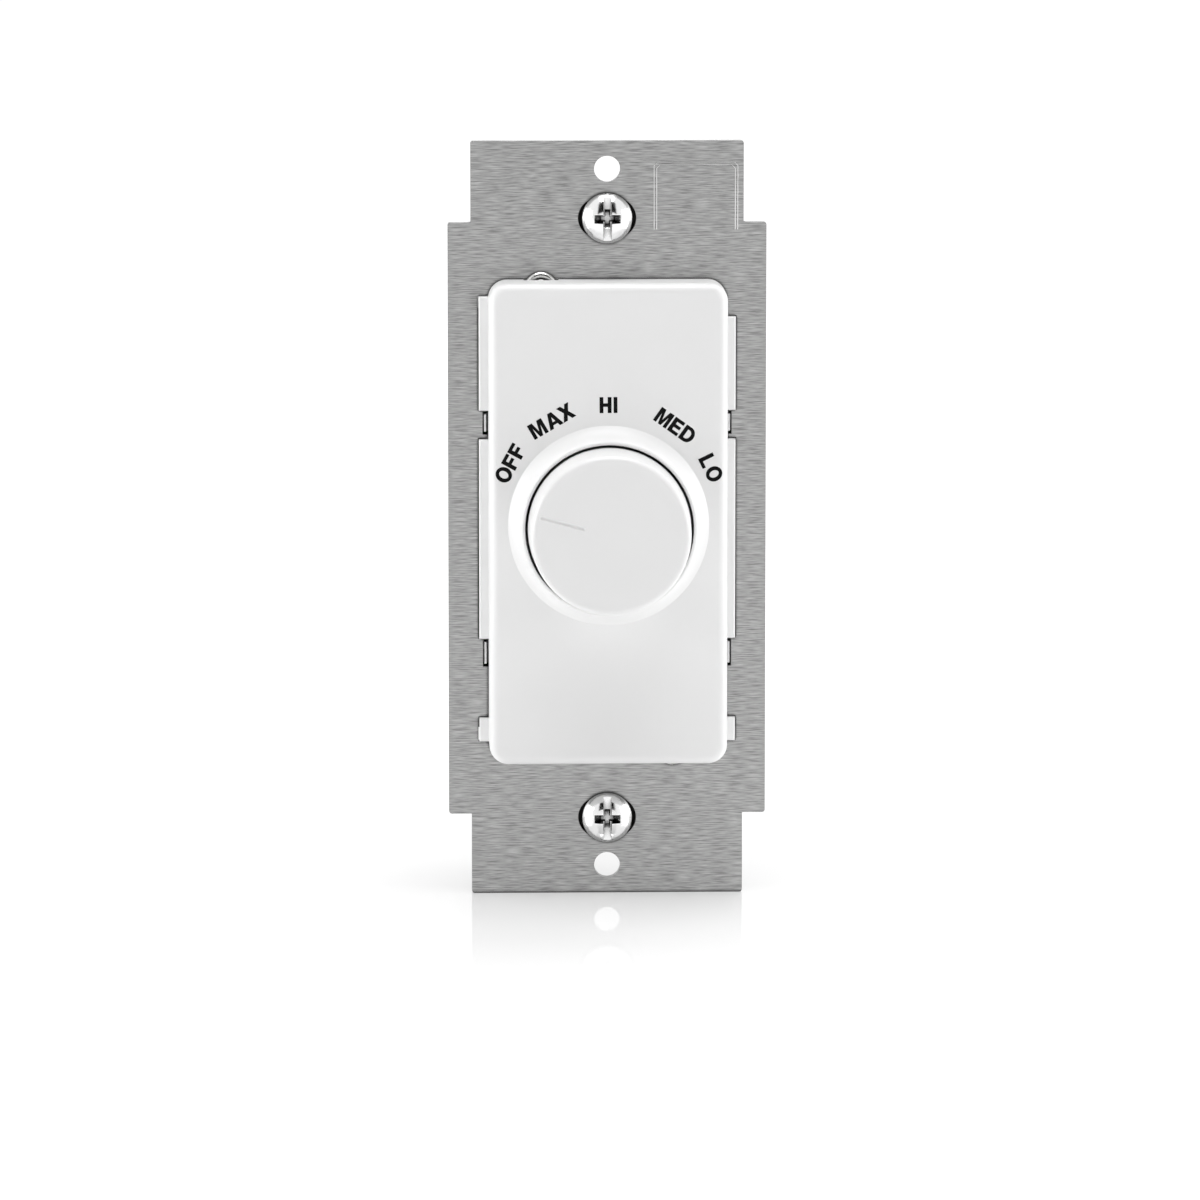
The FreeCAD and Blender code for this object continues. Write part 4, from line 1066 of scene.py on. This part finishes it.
@dataclass
class Studio:
    """The pale floor, the lamps, the dark card that the plated screws mirror, and the camera.

    The floor's height, the aim and the camera's distance are in millimetres, and the other lengths in metres.
    """

    floor_z: float = -52.3
    floor_size: float = 8.0
    floor_white: float = 0.92
    seen_white: float = 0.36
    lift_near: float = 0.62
    lift_far: float = 1.04
    lift_start: float = 0.10
    lift_reach: float = 0.25
    mirror_share: float = 0.34
    mirror_reach: float = 0.10
    mirror_fall: float = 2.0
    mirror_roughness: float = 0.04
    ambient: float = 0.136
    card_place: Sizes = (0.0, -0.43, 0.35)
    card_size: Point = (0.54, 0.56)
    card_colour: Colour = (0.004, 0.004, 0.004)
    aim: Sizes = (-0.93, 0.0, -11.48)
    distance: float = 1035.0
    azimuth_deg: float = -1.8
    elevation_deg: float = 8.1
    focal_px: float = 7478.0
    picture_px: float = 1200.0
    sensor_mm: float = 36.0
    nearest: float = 0.05
    farthest: float = 30.0
    lamps: tuple[SoftBox, ...] = (
        SoftBox("left_softbox", (-0.62, -0.14, 0.03), 0.50, 3.7),
        SoftBox("right_softbox", (0.62, -0.14, 0.03), 0.50, 3.7),
        SoftBox("top_softbox", (0.0, -0.10, 0.60), 0.40, 2.9),
        SoftBox("back_softbox", (0.15, 0.55, 0.85), 0.60, 6.5),
    )

    def build(self) -> None:
        """Sets up everything that isn't part of the switch."""
        self.build_world()
        self.build_floor()
        self.build_card()
        for lamp in self.lamps:
            lamp.hang()
        self.build_camera()

    def build_world(self) -> None:
        """A white surround for the camera and for mirrors, and an even dim light for the rest."""
        world = bpy.data.worlds.new("white_surround")
        world.use_nodes = True
        sheet = NodeSheet(world.node_tree)
        rays = sheet.add("ShaderNodeLightPath", {}).outputs
        direct = sheet.maths("MAXIMUM", rays["Is Camera Ray"], rays["Is Glossy Ray"])
        seen = sheet.maths("MAXIMUM", direct, rays["Is Transmission Ray"])
        level = sheet.spread(seen, self.ambient, 1.0, 0.0, 1.0)
        background = sheet.add("ShaderNodeBackground", {"Color": WHITE, "Strength": level})
        sheet.add("ShaderNodeOutputWorld", {"Surface": background.outputs["Background"]})
        bpy.context.scene.world = world

    def lift_by_distance(self, sheet: NodeSheet, place: bpy.types.NodeSocket) -> bpy.types.NodeSocket:
        """How much the floor is lifted to white, which grows where the lamps no longer reach it.

        Args:
            sheet: The floor's nodes.
            place: The socket with the place on the floor, in metres from the middle of the switch.

        Returns:
            The socket that carries the lift.
        """
        distance = sheet.maths("LENGTH", place, kind="ShaderNodeVectorMath")
        beyond = sheet.maths("MAXIMUM", sheet.maths("SUBTRACT", distance, self.lift_start), 0.0)
        share = sheet.maths("DIVIDE", beyond, sheet.maths("ADD", beyond, self.lift_reach))
        return sheet.spread(share, self.lift_near, self.lift_far, 0.0, 1.0)

    def floor_material(self) -> bpy.types.Material:
        """White, lifted to the backdrop's white for the camera, with a faint mirror that fades away."""
        sheet = MaterialSheet("pale_floor")
        rays = sheet.add("ShaderNodeLightPath", {}).outputs
        seen = sheet.maths("MAXIMUM", rays["Is Camera Ray"], rays["Is Glossy Ray"])
        white = sheet.spread(seen, self.floor_white, self.seen_white, 0.0, 1.0)
        diffuse = sheet.add("ShaderNodeBsdfDiffuse", {"Color": white})
        place = sheet.add("ShaderNodeTexCoord", {}).outputs["Object"]
        lift = sheet.maths("MULTIPLY", seen, self.lift_by_distance(sheet, place))
        glow = sheet.add("ShaderNodeEmission", {"Strength": lift})
        pale = sheet.add("ShaderNodeAddShader", {0: diffuse.outputs["BSDF"], 1: glow.outputs["Emission"]})
        axes = sheet.add("ShaderNodeSeparateXYZ", {"Vector": place})
        away = sheet.maths("ABSOLUTE", axes.outputs["Y"])
        fade = sheet.spread(away, 1.0, 0.0, 0.0, self.mirror_reach)
        strength = sheet.maths("MULTIPLY", sheet.maths("POWER", fade, self.mirror_fall), self.mirror_share)
        mirror = sheet.add("ShaderNodeBsdfGlossy", {"Color": WHITE, "Roughness": self.mirror_roughness})
        both = sheet.add("ShaderNodeMixShader", {
            "Fac": strength, 1: pale.outputs["Shader"], 2: mirror.outputs["BSDF"],
        })
        return sheet.surface(both.outputs["Shader"])

    def plane(self, name: str, size: Point, material: bpy.types.Material, place: Matrix) -> bpy.types.Object:
        """A flat stage piece of some width and height, carried to its place."""
        shape = bmesh.new()
        bmesh.ops.create_grid(shape, x_segments=1, y_segments=1, size=0.5)
        bmesh.ops.scale(shape, vec=(*size, 1.0), verts=shape.verts)
        bmesh.ops.transform(shape, matrix=place, verts=shape.verts)
        mesh = bpy.data.meshes.new(name)
        shape.to_mesh(mesh)
        shape.free()
        mesh.materials.append(material)
        sheet = bpy.data.objects.new(name, mesh)
        bpy.context.scene.collection.objects.link(sheet)
        return sheet

    def build_floor(self) -> None:
        """The floor that the strap's lower end stands on."""
        place = Matrix.Translation((0.0, 0.0, self.floor_z * MM))
        self.plane("pale_floor", (self.floor_size, self.floor_size), self.floor_material(), place)

    def build_card(self) -> None:
        """A dark card over the camera, which only mirrors see."""
        sheet = MaterialSheet("dark_card")
        dark = sheet.add("ShaderNodeBsdfDiffuse", {"Color": (*self.card_colour, 1.0)})
        material = sheet.surface(dark.outputs["BSDF"])
        spot = Vector(self.card_place)
        turn = (-spot).to_track_quat("-Z", "Y").to_matrix().to_4x4()
        card = self.plane("dark_card", self.card_size, material, Matrix.Translation(spot) @ turn)
        card.visible_camera = False
        card.visible_diffuse = False
        card.visible_shadow = False
        card.visible_transmission = False

    def build_camera(self) -> None:
        """The camera at the photograph's angle, with no roll and no shift."""
        azimuth = math.radians(self.azimuth_deg)
        elevation = math.radians(self.elevation_deg)
        level = math.cos(elevation)
        back = Vector((math.sin(azimuth) * level, -math.cos(azimuth) * level, math.sin(elevation)))
        camera = bpy.data.cameras.new("camera")
        camera.sensor_width = self.sensor_mm
        camera.lens = self.focal_px / self.picture_px * self.sensor_mm
        camera.clip_start = self.nearest
        camera.clip_end = self.farthest
        holder = bpy.data.objects.new("camera", camera)
        holder.location = Vector(self.aim) * MM + back * self.distance * MM
        holder.rotation_euler = (-back).to_track_quat("-Z", "Y").to_euler()
        bpy.context.scene.collection.objects.link(holder)
        bpy.context.scene.camera = holder


@dataclass
class FanSpeedControl:
    """The whole switch: eased solids, threaded screws, pressed lines and the printed dial."""

    box_screw_height: float = 41.67
    screw_crest: float = 1.7
    neck_end: float = 3.0
    screw_length: float = 25.0
    ground_screw_foot: Sizes = (9.1, 11.4, -36.5)
    ground_screw_crest: float = 1.9
    ground_neck_end: float = 1.9
    ground_screw_length: float = 4.6
    housing_ease: float = 0.18

    def housing(self) -> EasedSolid:
        """The rear housing, whose edges catch the light."""
        return EasedSolid("rear_housing", "device_body", "moulded_housing", self.housing_ease)

    def screws(self) -> list[ThreadedScrew]:
        """The ground screw and the two box screws, with their threads."""
        made = [ThreadedScrew(
            node="ground_screw", body="ground_screw_body", name="threaded_ground_screw",
            axis=(0.0, 0.0, 1.0), foot=self.ground_screw_foot, thread_start=self.ground_neck_end,
            thread_end=self.ground_screw_length, crest_radius=self.ground_screw_crest,
        )]
        for name, side in (("upper", 1.0), ("lower", -1.0)):
            made.append(ThreadedScrew(
                node="mounting_screw_" + name, body=name + "_box_screw", name="threaded_box_screw_" + name,
                axis=(0.0, 1.0, 0.0), foot=(0.0, STRAP_FRONT, side * self.box_screw_height),
                thread_start=self.neck_end, thread_end=self.screw_length, crest_radius=self.screw_crest,
                driver=DriverCut(),
            ))
        return made

    def build(self, palette: Palette) -> None:
        """Builds every piece in order."""
        for piece in (self.housing(), *self.screws(), PressedOutline(), DialPrint()):
            piece.build(palette)


def main() -> None:
    """Sets the view, dresses the solids, builds the pieces and the studio."""
    logging.basicConfig(level=logging.INFO, format="%(name)s: %(message)s")
    bpy.context.scene.view_settings.view_transform = "Standard"
    palette = Palette()
    palette.dress_solids()
    FanSpeedControl().build(palette)
    Studio().build()


if __name__ == "__main__":
    main()
